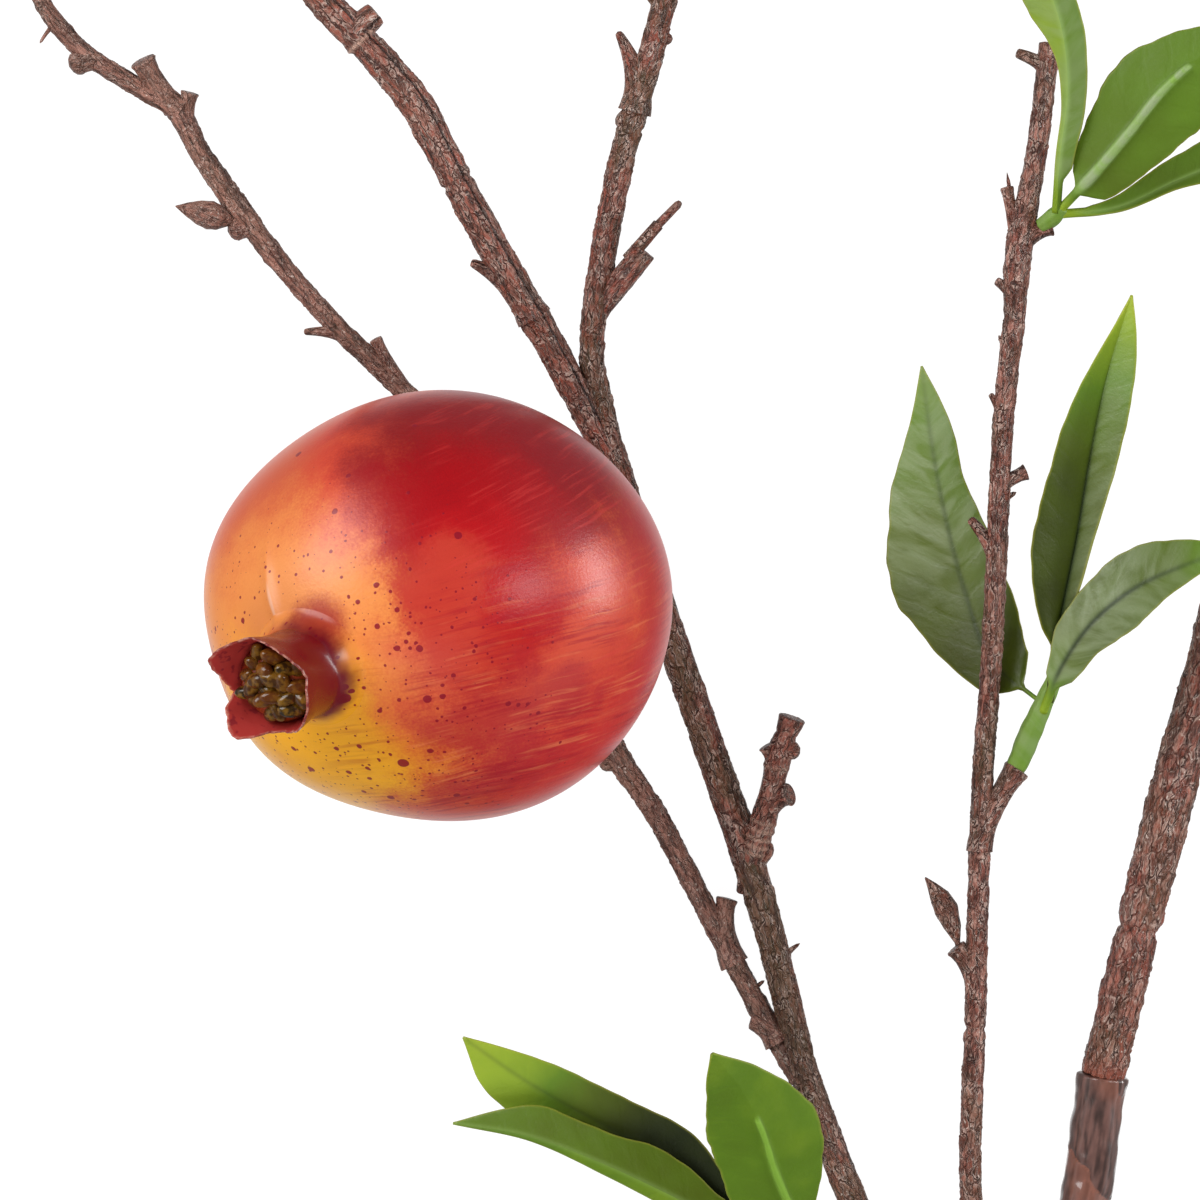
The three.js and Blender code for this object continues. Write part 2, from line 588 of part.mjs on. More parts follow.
const limbs = {
  main_stalk: sleeves(stalk, []),
  right_bough: sleeves(rightBough, [RIGHT_JOINT], [stalk]),
  leaf_bough: sleeves(leafBough, LEAF_JOINTS, [stalk]),
  fruit_bough: sleeves(fruitBough, [], [stalk, leafBough]),
  middle_bough: sleeves(middleBough, [], [fruitBough]),
  fruit_twig: sleeves(fruitTwig, [TWIG_JOINT], [fruitBough, middleBough]),
  upper_left_bough: sleeves(upperLeftBough, [UPPER_LEFT_JOINT], [middleBough]),
  upper_bough: sleeves(upperBough, [UPPER_JOINT], [middleBough, upperLeftBough]),
  knobbed_spur: sleeves(knobbedSpur, [], [middleBough]),
};
for (const [name, solids] of Object.entries(limbs)) {
  solids.forEach((solid, i) => {
    const label = solids.length > 1 ? `${name}_${i + 1}` : name;
    place(label, solid, name === 'main_stalk' ? 'tape' : 'bark');
  });
}
place('fruit', fruit(), 'skin');
place('calyx', calyx(), 'sepal');
place('stamens', stamens(), 'stamen');
place('fruit_stalk', fruitStalk(), 'bark');
for (const [name, parts] of Object.entries(SPRIGS)) {
  place(name, sprig(parts), 'leaf');
}

export default group;
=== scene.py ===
# %% [markdown]
# # An artificial pomegranate branch
#
# A decorator's branch lies on its back: a painted fruit, moulded plastic boughs and sprigs of
# pressed leaves, on a stalk wrapped in tape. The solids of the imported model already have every
# main shape in its place. This notebook dresses them: each piece below is built over the solid
# it stands for, in the same frame, and gets the finish that a maker would give it.

# %% Load the solids
import math

import bpy
import numpy as np
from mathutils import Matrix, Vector


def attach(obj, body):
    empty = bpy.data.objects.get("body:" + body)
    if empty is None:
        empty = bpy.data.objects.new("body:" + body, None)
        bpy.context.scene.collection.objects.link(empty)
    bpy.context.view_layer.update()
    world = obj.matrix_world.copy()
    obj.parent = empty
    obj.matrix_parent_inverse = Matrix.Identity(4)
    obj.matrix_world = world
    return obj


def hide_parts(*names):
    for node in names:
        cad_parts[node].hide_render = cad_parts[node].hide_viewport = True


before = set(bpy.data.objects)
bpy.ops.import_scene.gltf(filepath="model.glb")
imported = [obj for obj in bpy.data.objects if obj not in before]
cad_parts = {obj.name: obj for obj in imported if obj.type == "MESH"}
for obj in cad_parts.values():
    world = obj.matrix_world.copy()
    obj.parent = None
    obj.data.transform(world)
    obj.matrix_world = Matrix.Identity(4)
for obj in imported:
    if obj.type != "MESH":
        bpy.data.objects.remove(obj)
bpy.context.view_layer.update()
print("solids:", ", ".join(sorted(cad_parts)))

# %% [markdown]
# ## Units and small helpers
#
# The branch is laid out in millimetres round a point on the floor, as its solids are, and
# Blender works in metres. One function changes a place from the first to the second. Colours
# are picked as sRGB hex, which is what a colour chart gives, and shaders want linear light.

# %% Units and colours
MM = 0.001
MIDDLE = np.array([-37.0, 1.4, 0.0])  # where the layout's zero lies, from the origin
FULL_TURN = 2 * math.pi


def metres(points):
    """Places of the layout, in millimetres, as places in the scene."""
    return (np.asarray(points, float) + MIDDLE) * MM


def colour(code):
    """An sRGB hex colour as the linear values that shaders use."""
    parts = [int(code[i:i + 2], 16) / 255 for i in (1, 3, 5)]
    return [*(c / 12.92 if c <= 0.04045 else ((c + 0.055) / 1.055) ** 2.4 for c in parts), 1.0]


def new_object(name, data):
    """An object in the scene with its origin at zero."""
    made = bpy.data.objects.new(name, data)
    bpy.context.scene.collection.objects.link(made)
    return made


# %% [markdown]
# A node needs three things: its kind, its settings and what feeds its inputs. One helper does
# all three and gives back what flows out, so that a material reads like a recipe. The kinds
# that are used most have a short word, and the signs + - * / stand for their nodes as well.

# %% Add a node
WORDS = {  # word: kind of node, settings, inputs in the order they are fed, output
    "ramp": ("ShaderNodeMapRange", {"interpolation_type": "SMOOTHSTEP"},
             ("Value", "From Min", "From Max", "To Min", "To Max"), 0),
    "coat": ("ShaderNodeMix", {"data_type": "RGBA"}, ("A", "Factor", "B"), "Result"),
    "graded": ("ShaderNodeValToRGB", {}, ("Fac",), 0),
    "noise": ("ShaderNodeTexNoise", {},
              ("Vector", "Scale", "Detail", "Roughness", "Distortion"), 0),
    "cells": ("ShaderNodeTexVoronoi", {}, ("Vector", "Scale"), "Distance"),
    "join": ("ShaderNodeCombineXYZ", {}, (0, 1, 2), 0),
    "split": ("ShaderNodeSeparateXYZ", {}, (0,), 0),
    "scaled": ("ShaderNodeVectorMath", {"operation": "SCALE"}, (0, "Scale"), 0),
    "agreement": ("ShaderNodeVectorMath", {"operation": "DOT_PRODUCT"}, (0, 1), "Value"),
    "distance": ("ShaderNodeVectorMath", {"operation": "DISTANCE"}, (0, 1), "Value"),
    "place": ("ShaderNodeTexCoord", {}, (), "Object"),
    "note": ("ShaderNodeAttribute", {}, (), "Fac"),
    "named": ("GeometryNodeInputNamedAttribute", {}, ("Name",), 0),
    "keep": ("GeometryNodeStoreNamedAttribute", {}, ("Geometry", "Name", "Value"), 0),
    "random": ("FunctionNodeRandomValue", {}, (), 0),
}
for word in "add subtract multiply divide minimum maximum absolute fract sqrt sine cosine".split():
    WORDS[word] = ("ShaderNodeMath", {"operation": word.upper()}, (0, 1), 0)
for word in "add subtract multiply divide normalize".split():
    WORDS["vector " + word] = ("ShaderNodeVectorMath", {"operation": word.upper()}, (0, 1), 0)


class Flow:
    """What flows out of a node."""

    def __init__(self, tree, socket):
        self.tree, self.socket = tree, socket

    def to(self, kind, *feeds, **settings):
        """Feeds this to a new node, and gives what flows out of that one."""
        return add(self.tree, kind, self, *feeds, **settings)

    def also(self, output):
        """Another output of the same node."""
        return Flow(self.tree, self.socket.node.outputs[output])

    def reckon(self, word, other):
        many = self.socket.type in ("VECTOR", "RGBA")
        return self.to("vector " + word if many else word, other)

    def __add__(self, other):
        return self.reckon("add", other)

    def __sub__(self, other):
        return self.reckon("subtract", other)

    def __mul__(self, other):
        return self.reckon("multiply", other)

    def __truediv__(self, other):
        return self.reckon("divide", other)


def add(tree, kind, *feeds, out=None, **settings):
    """Adds a node, feeds it in the order of its word or by the labels of its inputs."""
    kind, preset, labels, output = WORDS.get(kind, (kind, {}, (), 0))
    node = tree.nodes.new(kind)
    for name, value in {**preset, **settings}.items():
        if name == "stops":
            set_stops(node.color_ramp.elements, value)
        else:
            setattr(node, name, value)
    by_label = feeds[0] if feeds and isinstance(feeds[0], dict) else dict(zip(labels, feeds))
    for label, value in by_label.items():
        if isinstance(value, Flow):
            tree.links.new(value.socket, node.inputs[label])
        elif isinstance(value, str) and value.startswith("#"):
            node.inputs[label].default_value = colour(value)
        else:
            node.inputs[label].default_value = value
    return Flow(tree, node.outputs[output if out is None else out]) if node.outputs else None


def set_stops(elements, stops):
    """The colours of a ramp, each at its place."""
    for end, (at, code) in zip(elements, (stops[0], stops[-1])):
        end.position, end.color = at, colour(code)
    for at, code in stops[1:-1]:
        elements.new(at).color = colour(code)


# %% [markdown]
# A material starts with the constants of its shader. In the end it gets its paint, and a bump
# from a height for what is too fine for the mesh.

# %% Start and finish a material
def new_material(name, **finish):
    """A material whose shader has the given constants, and its tree."""
    material = bpy.data.materials.new(name)
    material.use_nodes = True
    shader = material.node_tree.nodes["Principled BSDF"]
    for label, value in finish.items():
        shader.inputs[label.replace("_", " ")].default_value = value
    return material, material.node_tree


def notes_on(tree, names):
    """The attributes of a mesh that a material reads."""
    return {name: add(tree, "note", attribute_name=name) for name in names}


def finished(material, paint, height, strength, depth, roughness=None):
    """Links the paint, the bump (its depth is in millimetres) and any change of roughness."""
    tree = material.node_tree
    inputs = tree.nodes["Principled BSDF"].inputs
    bump = add(tree, "ShaderNodeBump",
               {"Height": height, "Strength": strength, "Distance": depth * MM})
    for label, flow in (("Base Color", paint), ("Normal", bump), ("Roughness", roughness)):
        if flow is not None:
            tree.links.new(flow.socket, inputs[label])
    return material


# %% [markdown]
# ## Closed shells
#
# Leaves, stems, the fruit and its calyx are all closed shapes made of rings, one after another,
# like a paper lantern. One function turns a stack of rings into a mesh. Whatever is known about
# each point, such as how far along a leaf it lies, goes with it as an attribute.

# %% Shells from rings
def shell(rings, notes=None):
    """Points, faces and notes of the closed shape through rings of shape (rings, points, 3)."""
    rings = np.asarray(rings, float)
    count, around = rings.shape[:2]
    points = np.vstack([rings.reshape(-1, 3), rings[0].mean(0), rings[-1].mean(0)])
    i = np.arange(count - 1)[:, None] * around
    j = np.arange(around)[None, :]
    k = (j + 1) % around
    quads = np.stack([i + j, i + k, i + around + k, i + around + j], -1).reshape(-1, 4).tolist()
    first, last = count * around, count * around + 1
    top = (count - 1) * around
    fans = [[(c + 1) % around, c, first] for c in range(around)]
    fans += [[top + c, top + (c + 1) % around, last] for c in range(around)]
    kept = {}
    for name, values in (notes or {}).items():
        values = np.broadcast_to(values, (count, around)).astype(float)
        kept[name] = np.concatenate([values.ravel(), [values[0].mean(), values[-1].mean()]])
    return points, quads + fans, kept


def finish_piece(name, mesh):
    """An object of the mesh, counted aloud."""
    print(f"{name}: {len(mesh.vertices)} points, {len(mesh.polygons)} faces")
    return new_object(name, mesh)


def note_points(mesh, notes):
    """Stores a number on every point of the mesh under each name."""
    for label, values in notes.items():
        mesh.attributes.new(label, "FLOAT", "POINT").data.foreach_set(
            "value", np.asarray(values, np.float32))


def make_piece(name, shells, material):
    """One object from shells in layout millimetres, with faces out and their notes kept."""
    points, faces, notes, start = [], [], {}, 0
    for some, own, kept in shells:
        corners = some[[face[:3] for face in own]]
        volume = np.einsum("ij,ij->i", corners[:, 0], np.cross(corners[:, 1], corners[:, 2])).sum()
        own = own if volume > 0 else [face[::-1] for face in own]
        faces += [[start + corner for corner in face] for face in own]
        points.append(some)
        for label, values in kept.items():
            notes.setdefault(label, []).append(values)
        start += len(some)
    mesh = bpy.data.meshes.new(name)
    mesh.from_pydata(metres(np.vstack(points)).tolist(), [], faces)
    note_points(mesh, {label: np.concatenate(values) for label, values in notes.items()})
    mesh.shade_smooth()
    mesh.materials.append(material)
    return finish_piece(name, mesh)


def hand_over(piece, slot, *nodes):
    """The piece stands for its solids and moves with them; their slot is not used."""
    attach(piece, "root")
    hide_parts(*nodes)


# %% [markdown]
# ## The camera, the floor and the light
#
# The camera looks straight down from 900 mm, through a long lens, so the branch looks much as
# it does laid out on a table. The table is a light box: a sheet of opal plastic that glows from
# inside, under a film that sends most of its light straight up, so that it takes the shadows
# away and yet leaves the colours deep. A big soft light stands to the upper left and two
# smaller ones to the right. A fourth, from the front, has a polarising filter: it brings out
# the colours and leaves no shine. The room has pale walls on the left and right only.

# %% Camera
CAMERA_HEIGHT = 0.9
lens = bpy.data.cameras.new("camera")
lens.lens = 135.54
lens.sensor_width = 36.0
lens.clip_end = 20.0
camera = new_object("camera", lens)
camera.location = (*MIDDLE[:2] * MM, CAMERA_HEIGHT)
bpy.context.scene.camera = camera

# %% Floor
opal, tree = new_material("Opal plastic, lit from inside", Roughness=0.9,
                          Base_Color=colour("#606060"), Emission_Color=colour("#FFFFFF"))
glow = add(tree, "place").to("distance", tuple(MIDDLE * MM)).to("ramp", 0.19, 0.5, 1.0, 0.55)
slant = add(tree, "ShaderNodeLayerWeight", {"Blend": 0.5}, out="Facing")
glow = glow * slant.to("ramp", 0.03, 0.26, 0.98, 0.1)
tree.links.new(glow.socket, tree.nodes["Principled BSDF"].inputs["Emission Strength"])
REACH = 3.0
floor_mesh = bpy.data.meshes.new("floor")
floor_mesh.from_pydata(
    [(-REACH, -REACH, 0), (REACH, -REACH, 0), (REACH, REACH, 0), (-REACH, REACH, 0)], [],
    [(0, 1, 2, 3)])
floor_mesh.materials.append(opal)
floor = new_object("floor", floor_mesh)

# %% Lights
world = bpy.data.worlds.new("studio")
bpy.context.scene.world = world
world.use_nodes = True
room = world.node_tree
way = add(room, "ShaderNodeTexCoord", out="Generated").to("split")
walls = way.to("absolute").to("ramp", 0.3, 0.85, interpolation_type="LINEAR")
low = way.also(2).to("ramp", 0.1, 0.65, 0.75, 0.0, interpolation_type="LINEAR")
background = room.nodes["Background"].inputs
background["Color"].default_value = colour("#FBFCFF")
room.links.new((walls * low + 0.1).socket, background["Strength"])


def soft_light(name, direction, distance, size, power, polarised=False):
    """A soft light at a distance from the fruit, facing it."""
    light = bpy.data.lights.new(name, "AREA")
    light.shape = "RECTANGLE"
    light.size, light.size_y = size
    light.energy = power
    lamp = new_object(name, light)
    way = Vector(direction).normalized()
    lamp.location = Vector(metres([-30.3, -1.2, 42.9])) + way * distance
    lamp.rotation_euler = way.to_track_quat("Z", "Y").to_euler()
    lamp.visible_camera = False
    lamp.visible_glossy = not polarised


soft_light("key", (-0.66, 0.50, 0.56), 1.3, (0.9, 0.9), 13.5)
soft_light("side", (0.95, 0.24, 0.09), 1.15, (0.6, 0.2), 5.4)
soft_light("fill", (0.67, 0.26, 0.70), 1.5, (0.42, 0.42), 4.2)
soft_light("front", (-0.10, -0.55, 0.83), 1.6, (1.1, 1.1), 14.5, polarised=True)
bpy.context.scene.view_settings.view_transform = "Standard"
print("camera at", tuple(round(v, 4) for v in camera.location))

# %% [markdown]
# ## The limbs' lines
#
# A bough is a line with a thickness. The points below are the same as those of the solids:
# where the middle of the limb runs, and its radius there. A smooth curve goes through them; its
# knots are spaced by the square root of their distances, which keeps it from swinging out
# where two points lie close together.

# %% Smooth lines
STEP = 0.36  # millimetres between the samples of a limb


def run_along(points):
    """How far along a line each of its points lies."""
    steps = np.linalg.norm(np.diff(points[:, :3], axis=0), axis=1)
    return np.concatenate([[0], np.cumsum(steps)])


def sampled(at, run, table):
    """The rows of a table between its own, where the run is as asked."""
    return np.stack([np.interp(at, run, column) for column in table.T], -1)


def smooth_line(knots, per_span=30):
    """Many samples of the curve through the knots, which may have more columns than x, y, z."""
    knots = np.asarray(knots, float)
    line = np.vstack([2 * knots[0] - knots[1], knots, 2 * knots[-1] - knots[-2]])
    gaps = np.sqrt(np.maximum(np.linalg.norm(np.diff(line[:, :3], axis=0), axis=1), 1e-6))
    samples = []
    for i in range(1, len(line) - 2):
        before, start, end, after = line[i - 1:i + 3]
        g0, g1, g2 = gaps[i - 1:i + 2]
        leave = g1 * ((start - before) / g0 - (end - before) / (g0 + g1) + (end - start) / g1)
        arrive = g1 * ((end - start) / g1 - (after - start) / (g1 + g2) + (after - end) / g2)
        for t in np.arange(per_span) / per_span:
            samples.append((2 * t**3 - 3 * t**2 + 1) * start + (t**3 - 2 * t**2 + t) * leave
                           + (3 * t**2 - 2 * t**3) * end + (t**3 - t**2) * arrive)
    return np.array([*samples, line[-2]])


def frame_of(along):
    """A direction made one long, with the ways to the right of it and over it."""
    along = along / np.linalg.norm(along)
    side = np.cross(along, [0, 0, 1])
    side = side / np.linalg.norm(side)
    return along, side, np.cross(side, along)


class Limb:
    """A tapering limb through points of [x, y, z, radius], sampled evenly."""

    def __init__(self, points, step=STEP):
        line = smooth_line(points)
        run = run_along(line)
        self.length = run[-1]
        self.run = np.linspace(0, self.length, max(3, round(self.length / step)))
        self.line = sampled(self.run, run, line)

    def frame(self, share):
        """The place at a share of the length, and the ways along, to the right of and over it."""
        here = share * self.length
        spot, ahead, behind = (sampled(at, self.run, self.line[:, :3]) for at in
                               (here, min(here + 1, self.length), max(here - 1, 0)))
        return spot, *frame_of(ahead - behind)


# %% Where the limbs run
STALK = [
    [75.8, -218.6, 6.2, 6.0], [86.5, -165.9, 7.6, 5.4], [92.3, -136.1, 8.8, 5.0],
    [96.2, -114.3, 9.6, 4.8], [99.0, -93.9, 10.4, 4.85],
]
RIGHT_BOUGH = [
    [99.0, -93.6, 10.4, 4.3], [104.7, -69.4, 11.2, 4.4], [112.9, -36.1, 12.6, 4.6],
    [119.7, -11.6, 13.6, 4.5], [125.4, 13.7, 14.5, 4.2], [131.5, 39.1, 16, 3.8],
    [138.6, 64.4, 18, 3.2], [145.3, 101.4, 19, 1.9],
]
LEAF_BOUGH = [
    [82.9, -171.8, 8, 3.0], [76.7, -145.5, 11.5, 2.6], [72.7, -117.5, 15, 2.25],
    [73.2, -83.2, 18, 2.15], [74.4, -37.0, 20, 2.1], [76.3, -8.8, 21, 2.1],
    [78.6, 38.4, 22.5, 2.1], [80.4, 54.4, 23, 2.2], [81.1, 66.9, 23.5, 2.7],
    [84.5, 86.1, 24.5, 2.1], [87.0, 107.6, 25.5, 2.1],
]
FRUIT_BOUGH = [
    [83.4, -183.7, 7.4, 3.4], [60.3, -140.4, 6.8, 3.1], [49.4, -117.3, 6.6, 2.9],
    [39.5, -91.3, 6.8, 3.0],
]
FRUIT_TWIG = [
    [39.5, -94.9, 6.6, 2.2], [26.7, -72.1, 5.0, 2.2], [10.7, -41.8, 4.0, 2.25],
    [3.4, -30.8, 3.4, 2.5], [-4.0, -12, 2.6, 2.3], [-9.2, 6.0, 2.5, 2.25], [-23.8, 26, 3.4, 2.2],
    [-40.6, 43.0, 5.5, 2.1], [-52.9, 54.9, 7.5, 2.0], [-64.8, 68.6, 9.5, 2.1],
    [-71.4, 77.7, 11.3, 2.3], [-78.4, 87.6, 12.2, 2.2], [-83.5, 96.6, 13, 2.2],
    [-90.2, 100.4, 14, 2.0], [-101.6, 107.8, 16, 1.85], [-109.6, 118.5, 19.8, 1.7],
    [-110.3, 128, 21.5, 1.3],
]
MIDDLE_BOUGH = [
    [40.5, -93.9, 6.8, 2.8], [33.2, -64.6, 7.6, 3.0], [29.0, -50.6, 8, 3.2],
    [17.6, -17.7, 9, 3.1], [10.8, 2.0, 9.8, 3.1], [2.0, 29.1, 11.4, 3.1],
]
UPPER_LEFT_BOUGH = [
    [3.1, 25.6, 11, 3.0], [-7.3, 45.5, 13.5, 3.0], [-21.9, 70.7, 17.5, 3.2],
    [-28.9, 83.5, 19, 3.2], [-35.6, 96.2, 20.5, 3.4], [-41.6, 103.6, 21.5, 3.25],
    [-58.1, 122.0, 25, 3.0], [-66.6, 142.8, 28, 2.1],
]
UPPER_BOUGH = [
    [2.4, 28.5, 11.4, 2.7], [-1.6, 48.0, 13.1, 2.5], [-0.4, 60.8, 14.2, 2.6],
    [3.7, 83.5, 16.4, 2.6], [11.7, 113.1, 19, 2.5], [17.5, 138.1, 21.5, 1.9],
]
KNOBBED_SPUR = [
    [27.9, -57.6, 7.6, 1.0], [29.4, -52.0, 9.0, 2.1], [31.9, -44.3, 10.5, 2.6],
    [34.0, -36.0, 12.3, 2.3], [35.1, -30.4, 13.4, 2.6], [36.6, -26.0, 14.3, 2.25],
    [37.6, -23.2, 14.8, 2.7],
]

# %% [markdown]
# ## Stubs, buds and knobs
#
# Where the maker snipped off side twigs the mould keeps short stubs, and here and there a knob
# or a pointed bud. Each is a short limb of its own. It starts inside the bough, a little way
# back, and bends out of it, as a real twig does.

# %% Pegs
PEG_SHAPES = {
    # The share of the length and the radius as a share from foot (0) to tip (1), then a factor.
    # A cut end is flat with a low rim, a stub is blunt, a thorn and a bud are pointed.
    "cut": [(0, 0, 1.15), (0.35, 0.2, 0.95), (0.75, 0.8, 0.9), (0.9, 1, 1.0), (0.96, 1, 1.12),
            (0.985, 1, 1.06), (0.99, 1, 0.9), (0.995, 1, 0.5), (1, 1, 0.03)],
    "stub": [(0, 0, 1.2), (0.4, 0.3, 1.0), (0.85, 0.9, 1.0), (0.95, 1, 0.95), (0.985, 1, 0.7),
             (1, 1, 0.05)],
    "thorn": [(0, 0, 1.3), (0.3, 0.2, 0.95), (0.6, 0.6, 0.9), (0.9, 0.95, 1.0), (1, 1, 0.15)],
    "knob": [(0, 0, 0.85), (0.5, 0, 0.95), (0.68, 0, 1.05), (0.84, 0, 0.9), (0.94, 0, 0.6),
             (1, 0, 0.06)],
    "bud": [(0, 0, 1.0), (0.3, 0, 0.95), (0.36, 1, 0.5), (0.46, 1, 0.85), (0.58, 1, 1.0),
            (0.72, 1, 0.82), (0.86, 1, 0.48), (0.96, 1, 0.16), (1, 1, 0.04)],
}


def peg(limb, at, turn, lean, length, foot, tip, shape, back):
    """The points of a peg on a limb, each [x, y, z, radius]."""
    spot, along, side, over = limb.frame(at)
    around, away = math.radians(turn), math.radians(lean)
    way = (along * math.cos(away)
           + (side * math.cos(around) + over * math.sin(around)) * math.sin(away))
    start, end = spot - along * back, spot + way * length
    t = np.linspace(0, 1, 60)[:, None]
    line = (1 - t) ** 2 * start + 2 * t * (1 - t) * spot + t**2 * end
    run = run_along(line)
    rows = np.array(PEG_SHAPES[shape])
    radii = (foot + (tip - foot) * rows[:, 1]) * rows[:, 2]
    shares = np.unique(np.concatenate([np.arange(0, 1, 0.3 / run[-1]), rows[:, 0]]))
    return np.column_stack([sampled(shares * run[-1], run, line),
                            np.interp(shares, rows[:, 0], radii)])


def straight(points, step=0.3):
    """Straight runs between points of [x, y, z, radius], sampled closely."""
    points = np.asarray(points, float)
    run = run_along(points)
    return sampled(np.unique(np.concatenate([np.arange(0, run[-1], step), run])), run, points)


# For each peg: the share of the bough's length where it stands, how far it is turned round the
# bough from its right side, its lean away from the bough's direction (both in degrees), its
# length, its radius at foot and tip, its shape, and how far back in the bough it starts.
PEGS = {
    "right_bough": [(0.53, 0, 50, 11, 2.2, 1.7, "cut", 4)],
    "leaf_bough": [
        (0.357, 180, 40, 6.6, 1.9, 1.9, "cut", 5),
        (0.463, 0, 33, 12.6, 2.3, 2.4, "cut", 6),
        (0.651, 180, 44, 8.0, 1.7, 0.9, "stub", 3),
        (0.697, 0, 66, 5.6, 1.4, 1.5, "cut", 2),
        (0.684, 0, 60, 3.8, 1.1, 0.4, "thorn", 2),
        (0.745, 180, 40, 4.6, 1.2, 0.6, "stub", 3),
        (0.786, 180, 40, 4.2, 1.1, 0.5, "thorn", 3),
        (0.828, 180, 60, 4.6, 1.4, 0.9, "stub", 3),
        (0.858, 180, 19, 12.4, 1.3, 1.2, "cut", 3),
        (0.858, 175, 17, 15.0, 0.8, 0.35, "thorn", 1.5),
        (0.868, 0, 62, 6.2, 2.3, 2.0, "cut", 3),
        (0.987, 180, 78, 6.4, 1.5, 1.0, "stub", 2),
    ],
    "fruit_twig": [
        (0.045, 180, 40, 3.8, 2.5, 2.2, "stub", 4),
        (0.073, 0, 85, 3.6, 0.9, 0.3, "thorn", 1.5),
        (0.12, 0, 42, 7.2, 2.6, 2.0, "cut", 7),
        (0.262, 180, 60, 4.4, 2.0, 2.0, "knob", 1.5),
        (0.575, 20, 18, 12.3, 1.5, 1.2, "cut", 3),
        (0.64, 180, 50, 7.0, 1.5, 0.7, "stub", 3),
        (0.737, 180, 70, 4.8, 2.2, 2.2, "knob", 1.5),
        (0.737, 170, 41, 15.4, 0.7, 2.9, "bud", 1.5),
        (0.826, 10, 46, 5.6, 1.6, 1.7, "cut", 3),
        (0.846, 25, 36, 9.0, 2.2, 2.4, "cut", 4),
        (0.905, 180, 60, 4.6, 2.3, 2.3, "knob", 1.5),
        (0.942, 180, 112, 5.4, 0.6, 0.3, "thorn", 1.5),
        (0.995, 0, 4, 8.5, 0.9, 1.7, "bud", 1.5),
    ],
    "middle_bough": [
        (0.183, 0, 70, 5.6, 1.3, 0.3, "thorn", 2),
        (0.33, 0, 50, 6.6, 2.4, 2.4, "knob", 1.5),
    ],
    "upper_left_bough": [
        (0.31, 180, 38, 8.6, 3.0, 1.0, "stub", 9),
        (0.722, 0, 95, 6.0, 2.9, 2.5, "stub", 0.5),
    ],
    "upper_bough": [
        (0.668, 180, 46, 10.4, 2.8, 0.9, "stub", 7),
        (0.585, 165, 75, 3.4, 1.7, 1.7, "knob", 1.5),
        (0.74, 0, 80, 3.4, 1.2, 1.2, "knob", 1.5),
        (0.79, 180, 60, 3.8, 1.2, 0.8, "stub", 1.5),
    ],
    "knobbed_spur": [
        (0.53, 30, 56, 5.0, 2.3, 2.1, "cut", 4),
        (0.74, 180, 42, 4.2, 1.7, 1.5, "cut", 3),
        (0.8, 0, 60, 4.2, 1.8, 1.8, "knob", 1.5),
    ],
}
SHOOTS = {
    # A leaf bud, flat and pointed, on the stub of the leaf bough.
    "leaf_bough": [
        [[70.2, -68.6, 17.3, 0.5], [69.8, -66.8, 17.5, 0.6], [68.9, -63.9, 17.7, 1.7],
         [67.6, -60.4, 18.0, 2.4], [66.3, -58.0, 18.2, 2.0], [64.9, -56.0, 18.4, 1.1],
         [63.5, -54.2, 18.6, 0.2], [63.4, -54.1, 18.6, 0.05]],
    ],
    # A thick side shoot on the upper bough, cut square, with a thin peg that steps down.
    "upper_bough": [
        [[-0.6, 53.5, 12.9, 0.9], [0.6, 58.0, 13.8, 2.2], [3.4, 61.8, 14.8, 2.5],
         [6.8, 65.8, 15.8, 2.4], [8.3, 68.0, 16.2, 2.6], [8.5, 68.3, 16.3, 2.5],
         [8.52, 68.33, 16.3, 0.1]],
        [[5.4, 66.6, 15.8, 1.3], [11.4, 73.4, 17.0, 1.2], [11.5, 73.5, 17.02, 0.9],
         [15.2, 77.2, 17.8, 0.8], [15.7, 77.7, 17.9, 0.5], [15.8, 77.8, 17.92, 0.05]],
    ],
}

# %% [markdown]
# ## Moulded bark
#
# Real bark cracks into long plates as the limb gets thicker, and the mould copies that: lens
# shaped flakes about 4 mm long stand a few tenths of a millimetre proud, each a little higher
# at its upper end. That is a rule along a path, so Geometry Nodes can grow it. The tree below
# sweeps a circle along each line, works out a place on the unrolled bark for every point, and
# lifts it by a pattern of stretched cells. The places on the bark and the seam's groove are kept
# as attributes, so that the paint can follow the same flakes.

# %% Start and finish a Geometry Nodes tree
def start_tree(name, sizes):
    """An empty tree with a geometry input, named number inputs and a material input."""
    tree = bpy.data.node_groups.new(name, "GeometryNodeTree")
    face = tree.interface
    face.new_socket(name="Geometry", in_out="INPUT", socket_type="NodeSocketGeometry")
    for label, value in sizes.items():
        kind = "NodeSocketInt" if isinstance(value, int) else "NodeSocketFloat"
        face.new_socket(name=label, in_out="INPUT", socket_type=kind).default_value = value
    face.new_socket(name="Material", in_out="INPUT", socket_type="NodeSocketMaterial")
    face.new_socket(name="Geometry", in_out="OUTPUT", socket_type="NodeSocketGeometry")
    given = tree.nodes.new("NodeGroupInput").outputs
    return tree, {socket.name: Flow(tree, socket) for socket in given}


def finish_tree(geometry, inputs):
    """Ends a tree with real geometry that has its material."""
    tree = geometry.tree
    smooth = add(tree, "GeometryNodeSetShadeSmooth", {"Geometry": geometry})
    real = add(tree, "GeometryNodeRealizeInstances", {"Geometry": smooth})
    dressed = add(tree, "GeometryNodeSetMaterial",
                  {"Geometry": real, "Material": inputs["Material"]})
    add(tree, "NodeGroupOutput", {"Geometry": dressed})
    return tree


